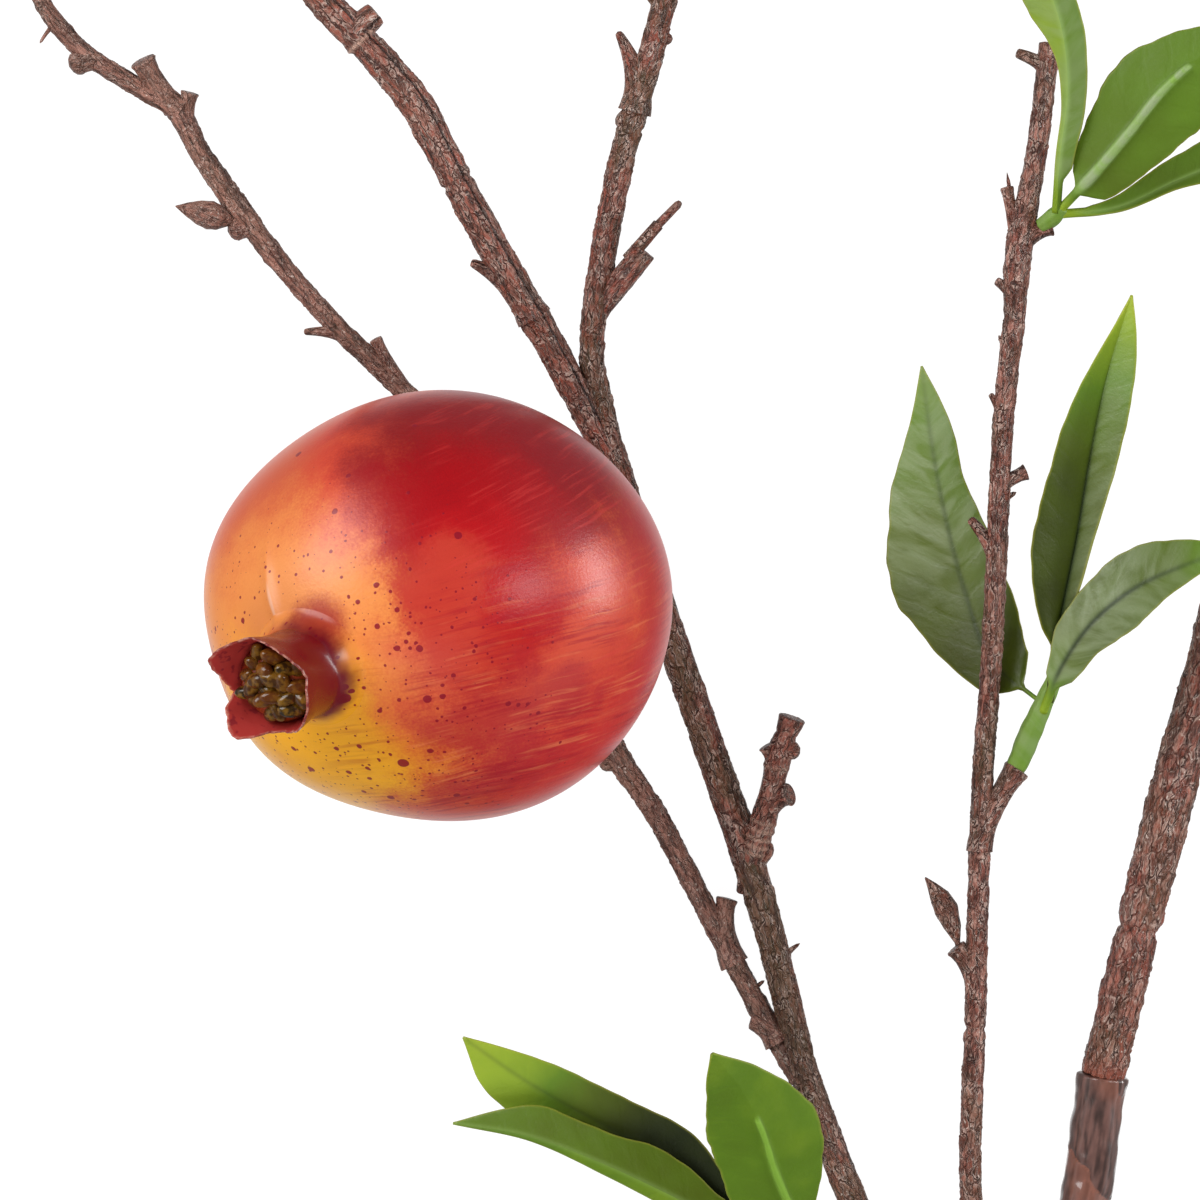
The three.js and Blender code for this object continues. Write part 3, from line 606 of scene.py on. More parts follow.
# %% Sweep a circle along lines
def sweep(tree, inputs):
    """The swept tube of every line, and its radius in millimetres, run, angle and place."""
    lines = add(tree, "GeometryNodeMeshToCurve", {"Mesh": inputs["Geometry"]})
    upright = add(tree, "GeometryNodeSetCurveNormal", {"Curve": lines}, mode="Z_UP")
    radius, run, around = (add(tree, "named", name) for name in ("thickness", "run", "around"))
    circle = add(tree, "GeometryNodeCurvePrimitiveCircle",
                 {"Resolution": inputs["Sides"], "Radius": 1.0})
    marked = circle.to("keep", "around", add(tree, "GeometryNodeSplineParameter", out="Factor"))
    tube = add(tree, "GeometryNodeCurveToMesh",
               {"Curve": upright, "Profile Curve": marked, "Scale": radius, "Fill Caps": True})
    thick, angle = radius * 1000.0, around * FULL_TURN
    place = (angle.to("cosine") * thick).to("join", angle.to("sine") * thick, run)
    return tube, thick, run, around, place


def lifted(geometry, height, inputs):
    """Moves the surface out by a height in millimetres, and ends the tree."""
    move = add(geometry.tree, "GeometryNodeInputNormal").to("scaled", height * MM)
    return finish_tree(add(geometry.tree, "GeometryNodeSetPosition",
                           {"Geometry": geometry, "Offset": move}), inputs)


# %% [markdown]
# The pattern of the flakes is a Voronoi diagram: space is divided among scattered points, and
# each region is a flake. The regions are stretched along the limb and slightly bent. The
# tree that moves the surface and the shader that paints it must agree on them, so both call
# the same function, and the tree hands its coordinates on as the attribute "cells".

# %% Flakes
def flakes(cells):
    """At a place in cell units: how near the flake's edge is, its luck, and the way up it."""
    edge = cells.to("cells", 1.0, feature="DISTANCE_TO_EDGE")
    flake = cells.to("cells", 1.0, out="Color")
    return edge, flake.to("split"), (cells - flake.also("Position")).to("split", out=2)


# %% Grow the bark
def bark_tree():
    tree, inputs = start_tree("Moulded bark", {
        "Sides": 40, "Flake width": 1.5, "Flake length": 4.4, "Relief": 0.42,
        "Seam depth": 0.0, "Seam turn": 0.845, "Olive": 0.3, "Red": 0.5, "Pale": 0.0,
        "Collar": 0.0, "Seed": 1})
    tube, thick, run, around, place = sweep(tree, inputs)
    # Each line of the branch starts its pattern elsewhere.
    shift = add(tree, "named", "shift")
    grain = place + (inputs["Seed"] * 17.0 + shift).to("join", 0.0, shift)
    bent = grain + grain.to("noise", 0.55, 3.0, out="Color").to("scaled", 2.4)
    width = inputs["Flake width"]
    cells = bent / width.to("join", width, inputs["Flake length"])
    edge, luck, upward = flakes(cells)
    plate, hollow = edge.to("ramp", 0.0, 0.28), edge.to("ramp", 0.2, 0.5)
    lumps = grain.to("noise", 0.16, 1.0)
    rough = (bent * (1.4, 1.4, 0.4)).to("noise", 1.0, 2.0)
    # A flake rises by its share of the relief, dips inside its rim and is higher at its top.
    lift = plate * 0.5 + hollow * -0.25 + plate * upward * 0.8
    lift = lift + (luck - 0.5) * (plate * 0.5) + (rough - 0.5) * 1.5 + (lumps - 0.68) * 1.8
    # Thin stubs have finer bark, and so do all the pegs.
    scale = inputs["Relief"] * thick.to("ramp", 0.3, 2.6, 0.12, 1.0)
    height = lift * (scale * add(tree, "named", "softness"))
    # The parting line of the mould is a narrow groove at one angle.
    off = (around - inputs["Seam turn"]).to("absolute") * (thick * FULL_TURN)
    groove = off.to("ramp", 0.08, 0.34, 1.0, 0.0) * inputs["Seam depth"]
    tube = tube.to("keep", "grain", grain, data_type="FLOAT_VECTOR")
    tube = tube.to("keep", "cells", cells, data_type="FLOAT_VECTOR")
    tube = tube.to("keep", "groove", groove)
    for name in ("Olive", "Red", "Pale"):
        tube = tube.to("keep", name.lower(), inputs[name])
    tube = tube.to("keep", "collar", run.to("ramp", 1.0, 4.5, 1.0, 0.0) * inputs["Collar"])
    return lifted(tube, height - groove, inputs)


BARK_TREE = bark_tree()


# %% [markdown]
# The tree needs lines to work on. A mesh of bare edges holds them, with the radius, the run
# along the line and the pattern's shift on every point. The modifier's inputs are set by their
# identifiers before it is first evaluated, and the result is copied out as a plain mesh.

# %% Lines in, plain mesh out
PEG_SOFTNESS = 0.28  # the bark's relief on pegs, as a share of the bough's


def line_mesh(name, lines, ring_marks=()):
    """A mesh of edges along lines of [x, y, z, radius], with what the trees read."""
    points, edges = [], []
    notes = {label: [] for label in ("thickness", "run", "shift", "softness", "ring")}
    for number, line in enumerate(lines):
        run = run_along(line)
        radius, mark_strength = line[:, 3].copy(), np.zeros(len(line))
        for share, depth, width in ring_marks if number == 0 else ():
            near = np.exp(-((run - share * run[-1]) / width) ** 2)
            radius -= depth * near
            mark_strength += max(0.0, -depth) * 2.6 * near
        edges += [(len(points) + i, len(points) + i + 1) for i in range(len(line) - 1)]
        points += metres(line[:, :3]).tolist()
        for label, values in zip(notes, (radius * MM, run, number * 7.3,
                                         PEG_SOFTNESS if number else 1.0,
                                         np.minimum(mark_strength, 0.75))):
            notes[label] += np.broadcast_to(values, len(line)).tolist()
    mesh = bpy.data.meshes.new(name)
    mesh.from_pydata(points, edges, [])
    note_points(mesh, notes)
    return mesh


def grow(name, base, tree, material, **sizes):
    """Runs a tree on a mesh and returns an object with the plain mesh that it makes."""
    source = new_object(name, base)
    modifier = source.modifiers.new("grow", "NODES")
    modifier.node_group = tree
    given = {label.replace("_", " "): value for label, value in sizes.items()}
    given["Material"] = material
    for item in tree.interface.items_tree:
        if item.in_out == "INPUT" and item.name in given:
            modifier[item.identifier] = given[item.name]
    graph = bpy.context.evaluated_depsgraph_get()
    mesh = bpy.data.meshes.new_from_object(
        source.evaluated_get(graph), preserve_all_data_layers=True, depsgraph=graph)
    bpy.data.objects.remove(source)
    mesh.name = name
    if not mesh.materials:
        mesh.materials.append(material)
    return finish_piece(name, mesh)


def end_caps(line):
    """The line with its ends rounded off over the last third of a millimetre."""
    def cap(end, before):
        way = (end[:3] - before[:3]) / np.linalg.norm(end[:3] - before[:3])
        return [[*(end[:3] + way * reach), end[3] * share] for reach, share in
                ((0.18, 0.93), (0.3, 0.75), (0.34, 0.4), (0.35, 0.03))]
    return np.vstack([cap(line[0], line[1])[::-1], line, cap(line[-1], line[-2])])


# %% [markdown]
# ## The bark's paint
#
# The plastic is moulded in a dull red brown. The cracks round the flakes are painted darker, as
# painted shade, and the flakes' rims a paler pink, as painted highlights; small pale flecks are
# painted glints. Some places are olive. The plastic is half glossy: its roughness is about a
# third and its refractive index the common 1.5, so the thin rims glint. Fibres a third of a
# millimetre apart run along the grain; they are too fine for the mesh and are left to the bump.

# %% Bark plastic
def bark_material():
    material, tree = new_material("Moulded bark plastic", IOR=1.5)
    grain, cells = (add(tree, "note", attribute_name=name, out="Vector")
                    for name in ("grain", "cells"))
    note = notes_on(tree, ("groove", "olive", "red", "pale", "collar", "ring"))
    edge, luck, _ = flakes(cells)
    # How strongly the painted shade in the cracks and the painted highlights on the rims show;
    # less on pale bark.
    mark_strength = note["pale"].to("ramp", 0.3, 0.7, 1.0, 0.15)
    # Painted shade: the cracks round the flakes are painted dark.
    crack = edge.to("ramp", 0.0, 0.07, 1.0, 0.0) * mark_strength
    # Painted highlight: a thin band just inside each flake's edge is painted paler.
    rim = edge.to("ramp", 0.03, 0.1) * edge.to("ramp", 0.1, 0.24, 1.0, 0.0) * mark_strength

    def grained(across, along, detail=3.0):
        """Noise on the bark, with so many patches a millimetre across and along the limb."""
        return (grain * (across, across, along)).to("noise", 1.0, detail)

    fibre, streak, furrow = grained(3.6, 0.8), grained(1.5, 0.35), grained(0.5, 0.08)
    broad, patch, glint_noise = grained(0.1, 0.05), grained(0.5, 0.4, 2.0), grained(2.2, 1.4, 2.0)
    paint = (luck * 0.22 + fibre * 0.6 + streak * 0.45).to("graded", stops=[
        (0.4, "#341D17"), (0.56, "#643B31"), (0.68, "#8E5C4F"), (0.85, "#CCA090")])
    coats = [  # how much of each coat, and its colour
        (streak.to("ramp", 0.44, 0.64) * note["red"], "#A24A36"),
        (broad.to("ramp", 0.42, 0.62) * note["olive"], "#5A5034"),
        (streak.to("ramp", 0.3, 0.6) * note["pale"], "#B48C7C"),
        (furrow.to("ramp", 0.34, 0.48, 0.6, 0.0), "#452D26"),
        # Painted shade in the cracks round the flakes.
        (crack * patch.to("ramp", 0.36, 0.6, 0.1, 0.8), "#291814"),
        # Painted highlights on the flakes' rims.
        (rim * patch.to("ramp", 0.42, 0.62, 0.05, 0.7), "#CFB2A4"),
        # Painted glints: small pale flecks over the bark.
        (glint_noise.to("ramp", 0.62, 0.68) * patch.to("ramp", 0.46, 0.6, 0.1, 0.8), "#DCC8BC"),
        (note["ring"], "#D2A894"),
        (note["groove"].to("ramp", 0.02, 0.2, 0.0, 0.85), "#33201B"),
        (note["collar"], "#96503E"),
    ]
    for amount, code in coats:
        paint = paint.to("coat", amount, code)
    return finished(material, paint, rim * 0.5 + crack * -0.4 + (fibre + streak), 1.0, 0.38,
                    roughness=fibre.to("ramp", 0.35, 0.65, 0.24, 0.42))


BARK = bark_material()

# %% [markdown]
# ## The boughs
#
# With the tree and the paint ready, each bough takes a few lines: its own line, its pegs, and
# the numbers that make its bark coarser or finer.

# %% Boughs and twigs
BARK_SIZES = ("Sides", "Flake_width", "Flake_length", "Relief", "Seam_depth", "Olive", "Red",
              "Pale", "Collar")
# For each bough: its line, the solids it stands for, the sizes and tints of its bark, and the
# rings round it: share of the length, depth (or height, if below nought) and width.
BOUGHS = {
    "right_bough": (RIGHT_BOUGH, ["right_bough_1", "right_bough_2"],
                    (80, 1.5, 5.4, 0.44, 0.0, 0.3, 0.55, 0.0, 0.75),
                    [(0.149, 0.5, 1.7), (0.149, 0.4, 0.5)]),
    "leaf_bough": (LEAF_BOUGH, ["leaf_bough_1", "leaf_bough_2", "leaf_bough_3"],
                   (40, 1.15, 4.0, 0.32, 0.0, 0.42, 0.35, 0.0, 0.0),
                   [(0.319, 0.25, 1.3), (0.319, 0.2, 0.4), (0.81, 0.2, 0.5)]),
    "fruit_bough": (FRUIT_BOUGH, ["fruit_bough"],
                    (52, 1.2, 4.4, 0.26, 0.0, 0.5, 0.6, 0.1, 0.0), []),
    "fruit_twig": (FRUIT_TWIG, ["fruit_twig_1", "fruit_twig_2"],
                   (40, 1.1, 3.4, 0.32, 0.0, 0.2, 0.6, 0.5, 0.0), []),
    "middle_bough": (MIDDLE_BOUGH, ["middle_bough"],
                     (52, 1.2, 4.6, 0.32, 0.0, 0.6, 0.5, 0.0, 0.0), []),
    "upper_left_bough": (UPPER_LEFT_BOUGH, ["upper_left_bough_1", "upper_left_bough_2"],
                         (56, 1.35, 4.6, 0.38, 0.35, 0.1, 0.9, 0.15, 0.0),
                         [(0.465, 0.5, 0.5), (0.705, -0.35, 0.45), (0.698, 0.2, 0.3)]),
    "upper_bough": (UPPER_BOUGH, ["upper_bough_1", "upper_bough_2"],
                    (48, 1.2, 4.0, 0.36, 0.0, 0.5, 0.7, 0.0, 0.0), [(0.578, 0.3, 0.45)]),
    "knobbed_spur": (KNOBBED_SPUR, ["knobbed_spur"],
                     (56, 1.4, 3.2, 0.14, 0.0, 0.1, 0.7, 0.15, 0.0),
                     [(0.24, -0.26, 0.4), (0.28, -0.28, 0.4), (0.325, -0.28, 0.4),
                      (0.37, -0.26, 0.4), (0.415, -0.2, 0.4), (0.72, -0.15, 0.4),
                      (0.9, 0.25, 0.4)]),
}
limbs = {name: Limb(points) for name, (points, *_) in BOUGHS.items()}
for seed, (name, (_, nodes, bark, rings)) in enumerate(BOUGHS.items(), 1):
    limb = limbs[name]
    lines = [end_caps(limb.line)] + [peg(limb, *row) for row in PEGS.get(name, [])]
    lines += [straight(shoot) for shoot in SHOOTS.get(name, [])]
    piece = grow(name, line_mesh(name, lines, rings), BARK_TREE, BARK, Seed=seed,
                 **dict(zip(BARK_SIZES, bark)))
    hand_over(piece, "bark", *nodes)

# %% [markdown]
# ## The wrapped stalk
#
# Florists bind the wires of a branch with stretchy paper tape. It goes round in a slant, each
# turn half over the last, so the stalk has low slanting steps and fine lengthways creases. A
# second tree makes this: its height is a sawtooth of the run less the turn.

# %% Tape wrap
def tape_tree():
    tree, inputs = start_tree("Wrapped tape", {
        "Sides": 72, "Pitch": 22.0, "Step": 0.35, "Crease": 0.12, "Seed": 1})
    tube, _, run, around, place = sweep(tree, inputs)
    grain = place + add(tree, "join", 0.0, 0.0, inputs["Seed"] * 31.0)
    turns = run / inputs["Pitch"] + around + grain.to("noise", 0.12, 2.0) * 0.8
    wind = turns.to("fract")
    ledge = wind.to("ramp", 0.0, 0.07) * wind.to("ramp", 0.25, 1.0, 1.0, 0.15)
    creases = (grain * (1.5, 1.5, 0.22)).to("noise", 0.8, 3.0)
    height = ledge * inputs["Step"] + (creases - 0.5) * inputs["Crease"] * 2.4
    height = height + (grain.to("noise", 0.18, 1.0) - 0.62)
    tube = tube.to("keep", "grain", grain, data_type="FLOAT_VECTOR")
    tube = tube.to("keep", "ledge", ledge).to("keep", "crease", creases)
    return lifted(tube, height, inputs)


# %% Florist's tape
def tape_material():
    material, tree = new_material("Waxed paper tape", IOR=1.45, Roughness=0.3,
                                  Coat_Weight=1.0, Coat_Roughness=0.12)
    note = notes_on(tree, ("ledge", "crease"))
    paint = add(tree, "coat", "#40302C", note["crease"].to("ramp", 0.3, 0.7), "#7A5850")
    paint = paint.to("coat", note["ledge"].to("ramp", 0.05, 0.35, 0.6, 0.0), "#A06450")
    grain = add(tree, "note", attribute_name="grain", out="Vector")
    fibres = (grain * (4.0, 4.0, 0.8)).to("noise", 1.0, 3.0)
    return finished(material, paint, fibres, 0.25, 0.2)


stalk = Limb(STALK)
piece = grow("main_stalk", line_mesh("main_stalk", [end_caps(stalk.line)]), tape_tree(),
             tape_material())
hand_over(piece, "tape", "main_stalk")

# %% [markdown]
# ## The fruit's shape
#
# A pomegranate is a ball with five flat-sided lobes that is drawn up towards its calyx, the
# crowned tube at its flower end. Its skin is a radius that depends on two angles: how far a
# point is from the calyx, and how far round the axis it lies. The fruit lies on its side with
# the calyx towards the lower left, so its own axes are worked out first.

# %% The fruit's axes
FRUIT_CENTRE = np.array([-30.3, -1.2, 42.9])
FRUIT_RADIUS = 42.9
FRUIT_STRETCH = np.array([1.027, 0.95, 1.0])
LEAN, BEARING = math.radians(35), math.radians(208)
LEVEL = np.array([math.cos(BEARING), math.sin(BEARING), 0.0])
UP = np.array([0.0, 0.0, 1.0])
CALYX_WAY = LEVEL * math.sin(LEAN) + UP * math.cos(LEAN)
LEAN_WAY = LEVEL * math.cos(LEAN) - UP * math.sin(LEAN)
ACROSS_WAY = np.cross(LEAN_WAY, CALYX_WAY)


def in_fruit(out, up, round_axis):
    """A place at a distance out from the axis and up along it, at an angle round the axis."""
    out, up, angle = np.broadcast_arrays(out, up, round_axis)
    point = (out * np.cos(angle))[..., None] * LEAN_WAY + up[..., None] * CALYX_WAY
    point = point + (out * np.sin(angle))[..., None] * ACROSS_WAY
    return point * FRUIT_STRETCH + FRUIT_CENTRE


RIDGE_ANGLE = math.radians(87)


def ridge_at(from_calyx, angle, width, middle, reach, sharpness):
    """The mould's parting line: a low ridge that runs up from the calyx and fades."""
    off = np.angle(np.exp(1j * (angle - RIDGE_ANGLE - 0.2 * (from_calyx - 0.37))))
    ridge = np.exp(-np.abs(off * np.sin(from_calyx) / width) ** sharpness)
    return ridge * np.exp(-(((from_calyx - middle) / reach) ** 2))


def skin_radius(from_calyx, angle):
    """How far the skin is from the fruit's middle, at two angles in radians."""
    lobed = np.sin(from_calyx) ** 2 * (1 + np.cos(from_calyx))
    lobes = 0.011 * lobed * np.cos(5 * (angle + 0.36))
    shoulder = 0.045 * np.exp(-((from_calyx / 0.8) ** 2))
    dimple = 0.03 * np.exp(-(((math.pi - from_calyx) / 0.34) ** 2))
    ridge = ridge_at(from_calyx, angle, 0.03, 0.36, 0.2, 1.5)
    return FRUIT_RADIUS * (1 + lobes + shoulder - dimple + 0.014 * ridge)


# %% [markdown]
# ## Airbrushed paint
#
# The fruit is sprayed like a model: a warm orange ground, yellow round the calyx, and then
# mists of red that overlap towards the sunny side, the deepest of them crimson. After that
# comes handwork: dry strokes of a wide brush while the fruit is turned, a spatter of dark
# specks, and some bigger drops. Each mist is a soft spot round a direction from the fruit's
# middle. All of it is one node group, because the calyx shares the paint at its foot.

# %% The mists
MISTS = [
    # direction, angle of its core and of its edge in degrees, strength, colour
    ((-0.45, -0.72, 0.52), 18, 48, 1.0, "#FFB41C"),
    ((-0.28, -0.52, 0.80), 6, 26, 0.6, "#F0A426"),
    ((-0.66, 0.72, 0.16), 14, 50, 0.9, "#D2502E"),
    ((-0.93, -0.10, -0.35), 20, 42, 0.8, "#C04438"),
    ((0.62, -0.25, 0.74), 22, 62, 0.95, "#D5442E"),
    ((0.18, 0.70, 0.69), 30, 56, 0.88, "#D43A28"),
    ((0.26, 0.72, 0.64), 20, 44, 0.98, "#8E0814"),
    ((0.62, 0.74, 0.25), 18, 48, 0.9, "#92101C"),
    ((0.15, 0.33, 0.93), 7, 34, 0.97, "#A80410"),
    ((0.19, 0.02, 0.98), 2, 26, 0.85, "#B80C14"),
    ((-0.06, -0.12, 0.99), 4, 24, 0.4, "#D8563C"),
    ((0.96, 0.00, 0.00), 24, 46, 0.8, "#B8222E"),
    ((0.45, -0.85, 0.10), 24, 54, 0.9, "#CC2426"),
    ((0.36, -0.58, 0.73), 5, 24, 0.55, "#A81A2C"),
    ((-0.46, -0.09, 0.88), 3, 10, 0.85, "#A01020"),
    ((0.10, 0.10, -1.00), 40, 80, 1.0, "#A02024"),
]


def unit(direction):
    return np.array(direction) / np.linalg.norm(direction)


def toward(aim, direction):
    """How much a direction from the fruit's middle agrees with another, from -1 to 1."""
    return aim.to("agreement", unit(direction))


def jolted(place, scale, amount, detail=2.0):
    """A place moved a little at random, which makes a smooth edge ragged."""
    shake = place.to("noise", scale, detail, out="Color") - (0.5, 0.5, 0.5)
    return place + shake.to("scaled", amount)


def paint_group():
    group = bpy.data.node_groups.new("Airbrushed paint", "ShaderNodeTree")
    for label, kind in (("Color", "NodeSocketColor"), ("Speck", "NodeSocketFloat")):
        group.interface.new_socket(name=label, in_out="OUTPUT", socket_type=kind)
    aim = (add(group, "place") - metres(FRUIT_CENTRE)).to("vector normalize")
    swayed = jolted(aim, 2.6, 0.34, 3.0)
    # The mists end in fine dots and in dabs of a sponge.
    dots = aim.to("noise", 90.0, 2.0) * 0.14 - 0.07
    grit = dots + (aim.to("noise", 13.0, 4.0) * 0.12 - 0.06)
    layer = add(group, "ShaderNodeRGB")
    layer.socket.default_value = colour("#EE9046")
    for direction, core, rim, strength, code in MISTS:
        low, high = math.cos(math.radians(rim)), math.cos(math.radians(core))
        # Wide mists sway, and small spots stay where they are put.
        amount = toward(swayed if rim > 15 else aim, direction) + grit * (3.5 * (high - low))
        layer = layer.to("coat", amount.to("ramp", low, high, 0.0, strength), code)
    layer, speck = spatter(aim, strokes(aim, layer))
    add(group, "NodeGroupOutput", {"Color": layer, "Speck": speck})
    return group


# %% [markdown]
# A dry brush leaves many thin lines side by side. Noise that is stretched a lot one way looks
# just like that: it changes 55 times over the fruit's radius across the stroke, and twice
# along it. The brush is held still and the fruit turned, so the lines are circles round one
# axis.

# %% Brush strokes
STROKES = [
    # the axis that the fruit is turned round, where the strokes lie, from what agreement on,
    # how much of the surface is dry paint, strength, colour
    ((-0.20, 0.97, 0.10), (0.60, -0.62, 0.50), 0.35, 0.50, 0.75, "#A80F22"),
    ((-0.20, 0.97, 0.10), (0.60, -0.55, 0.60), 0.50, 0.55, 0.45, "#F08A58"),
    ((-0.42, 0.90, 0.10), (0.62, 0.50, 0.60), 0.50, 0.55, 0.4, "#D83C38"),
    ((-0.40, 0.90, 0.10), (0.10, 0.35, 0.93), 0.85, 0.55, 0.4, "#7A0612"),
    ((0.55, 0.80, 0.25), (-0.66, -0.75, 0.02), 0.84, 0.53, 0.75, "#B41A2C"),
]


def strokes(aim, layer):
    """Thin dry lines of paint over a layer."""
    swung = jolted(aim, 1.7, 0.07)
    for number, (axis, direction, low, wet, strength, code) in enumerate(STROKES):
        axis = unit(axis)
        along = unit(np.cross(axis, [0, 0, 1]))
        lines = (toward(swung, axis) * 55.0).to(
            "join", toward(swung, along) * 2.2, toward(swung, np.cross(axis, along)) * 2.2)
        bristles = (lines + (number * 5.0,) * 3).to("noise", 1.0, 4.0, 0.62)
        patches = swung.to("noise", 3.1 + number, 3.0).to("ramp", 0.38, 0.6)
        where = toward(aim, direction).to("ramp", low, low + 0.35) * patches
        dry = bristles.to("ramp", wet - 0.05, wet + 0.13) * where
        layer = layer.to("coat", dry * strength, code)
    return layer


# %% Spatter
DROPS = [  # direction and size in degrees
    ((-0.02, -0.38, 0.92), 1.1), ((-0.13, -0.66, 0.74), 1.5), ((-0.54, -0.70, 0.47), 1.1),
    ((-0.37, -0.71, 0.60), 0.8), ((-0.20, -0.84, 0.51), 1.1), ((-0.14, -0.17, 0.98), 0.8),
    ((-0.05, -0.17, 0.98), 0.9), ((-0.22, -0.08, 0.97), 0.7), ((-0.31, -0.58, 0.75), 0.7),
    ((-0.61, 0.67, 0.42), 1.0), ((-0.36, 0.55, 0.75), 0.7), ((-0.09, 0.78, 0.60), 0.7),
    ((0.11, 0.30, 0.95), 1.0), ((-0.30, 0.02, 0.95), 0.6), ((-0.35, -0.36, 0.87), 1.5),
    ((-0.34, -0.31, 0.89), 0.9),
]


def spatter(aim, layer):
    """Dark specks of mixed sizes, flicked from a brush, mostly round the calyx."""
    where = toward(aim, (-0.38, -0.48, 0.79)).to("ramp", 0.3, 0.9, 0.3, 1.0)
    wet = jolted(aim, 24.0, 0.012)
    ragged = jolted(jolted(aim, 40.0, 0.005), 10.0, 0.012)
    total = None
    for scale, reach, share in ((10.0, 0.19, 0.5), (22.0, 0.3, 0.42), (48.0, 0.34, 0.3)):
        off = ragged.to("cells", scale)
        luck = off.also("Color").to("split")
        size = luck.to("ramp", share, 1.0, 0.0, reach) * where * (luck.also(1) + 0.3)
        dot = (size - off).to("ramp", 0.0, 0.04)
        total = dot if total is None else total + dot
    for direction, size in DROPS:
        off, edge = wet.to("distance", unit(direction)), math.radians(size)
        total = total + off.to("ramp", edge * 0.9, edge, 1.0, 0.0)
    total = total.to("minimum", 1.0)
    return layer.to("coat", total * 0.94, "#8E0A22"), total


PAINT = paint_group()

# %% [markdown]
# ## The lacquered skin
#
# Over the paint goes a satin lacquer. Its refractive index is near 1.5, and light from a soft
# source spreads to a patch the size of a thumb on it: a roughness a little under a third.
# A fine orange peel, two thirds of a millimetre apart, is left by the spray gun.

# %% Skin
def skin_material():
    material, tree = new_material("Lacquered paint", IOR=1.5, Roughness=0.34)
    paint = add(tree, "ShaderNodeGroup", node_tree=PAINT)
    # A painted highlight: the top of the mould line is painted pale.
    ridge_highlight = add(tree, "note", attribute_name="ridge").to("ramp", 0.35, 0.9, 0.0, 0.6)
    peel = add(tree, "place").to("noise", 1600.0, 2.0) + paint.also("Speck") * 0.6
    return finished(material, paint.to("coat", ridge_highlight, "#F4C2A6"), peel, 0.2, 0.2)


SKIN = skin_material()
from_calyx = np.linspace(0.02, math.pi - 0.02, 200)[:, None]
angle = np.linspace(0, FULL_TURN, 320, endpoint=False)[None, :]
reach = skin_radius(from_calyx, angle)
skin = in_fruit(reach * np.sin(from_calyx), reach * np.cos(from_calyx), angle)
ridge = ridge_at(from_calyx, angle, 0.012, 0.32, 0.12, 2)
hand_over(make_piece("fruit", [shell(skin, {"ridge": ridge})], SKIN), "fruit_skin", "fruit")

# %% [markdown]
# ## The calyx
#
# The calyx is a short tube that grows out of the skin in a soft fillet and ends in pointed
# teeth, cut and torn at their rims. It is one closed shell: from a toe that slips under the
# skin, up the fillet and the outside, over the rim, down the inside and across the floor. The
# teeth are tallest on the far side, and their rims are ragged by a few tenths of a millimetre.

# %% Calyx
TUBE, MOUTH = 8.7, 9.6  # the tube's radius at its foot and at its mouth, in millimetres
WALL, THIN_WALL = 0.95, 0.38  # its thickness low down and at its rim
TUBE_TOP, TUBE_FLOOR = 10.5, 4.0  # heights of its mouth and its floor over the pole
POLE = float(skin_radius(0.0, 0.0))
# How high the torn rim stands over the skin's pole, in millimetres, at angles round the axis.
RIM_LEVELS = [
    (0, 12.4), (8, 10.4), (14, 9.3), (18, 10.0), (26, 10.8), (34, 11.5), (44, 13.2), (52, 14.8),
    (60, 16.0), (70, 16.0), (82, 15.2), (98, 14.2), (112, 14.6), (130, 15.6), (148, 16.0),
    (160, 15.4), (172, 14.4), (190, 12.8), (202, 13.8), (212, 14.6), (228, 15.0), (245, 13.8),
    (262, 12.4), (280, 10.2), (293, 9.8), (304, 11.4), (314, 13.6), (324, 15.4), (336, 15.6),
    (348, 14.0), (360, 12.4),
]


def rim_level(angle):
    """Height of the rim over the pole, with tears of a few tenths of a millimetre."""
    turn = np.degrees(angle) % 360
    level = np.interp(turn, *np.array(RIM_LEVELS).T)
    return (level + 0.2 * np.sin(angle * 9 + 1) + 0.12 * np.sin(angle * 23 + 2)
            + 0.07 * np.sin(angle * 47))


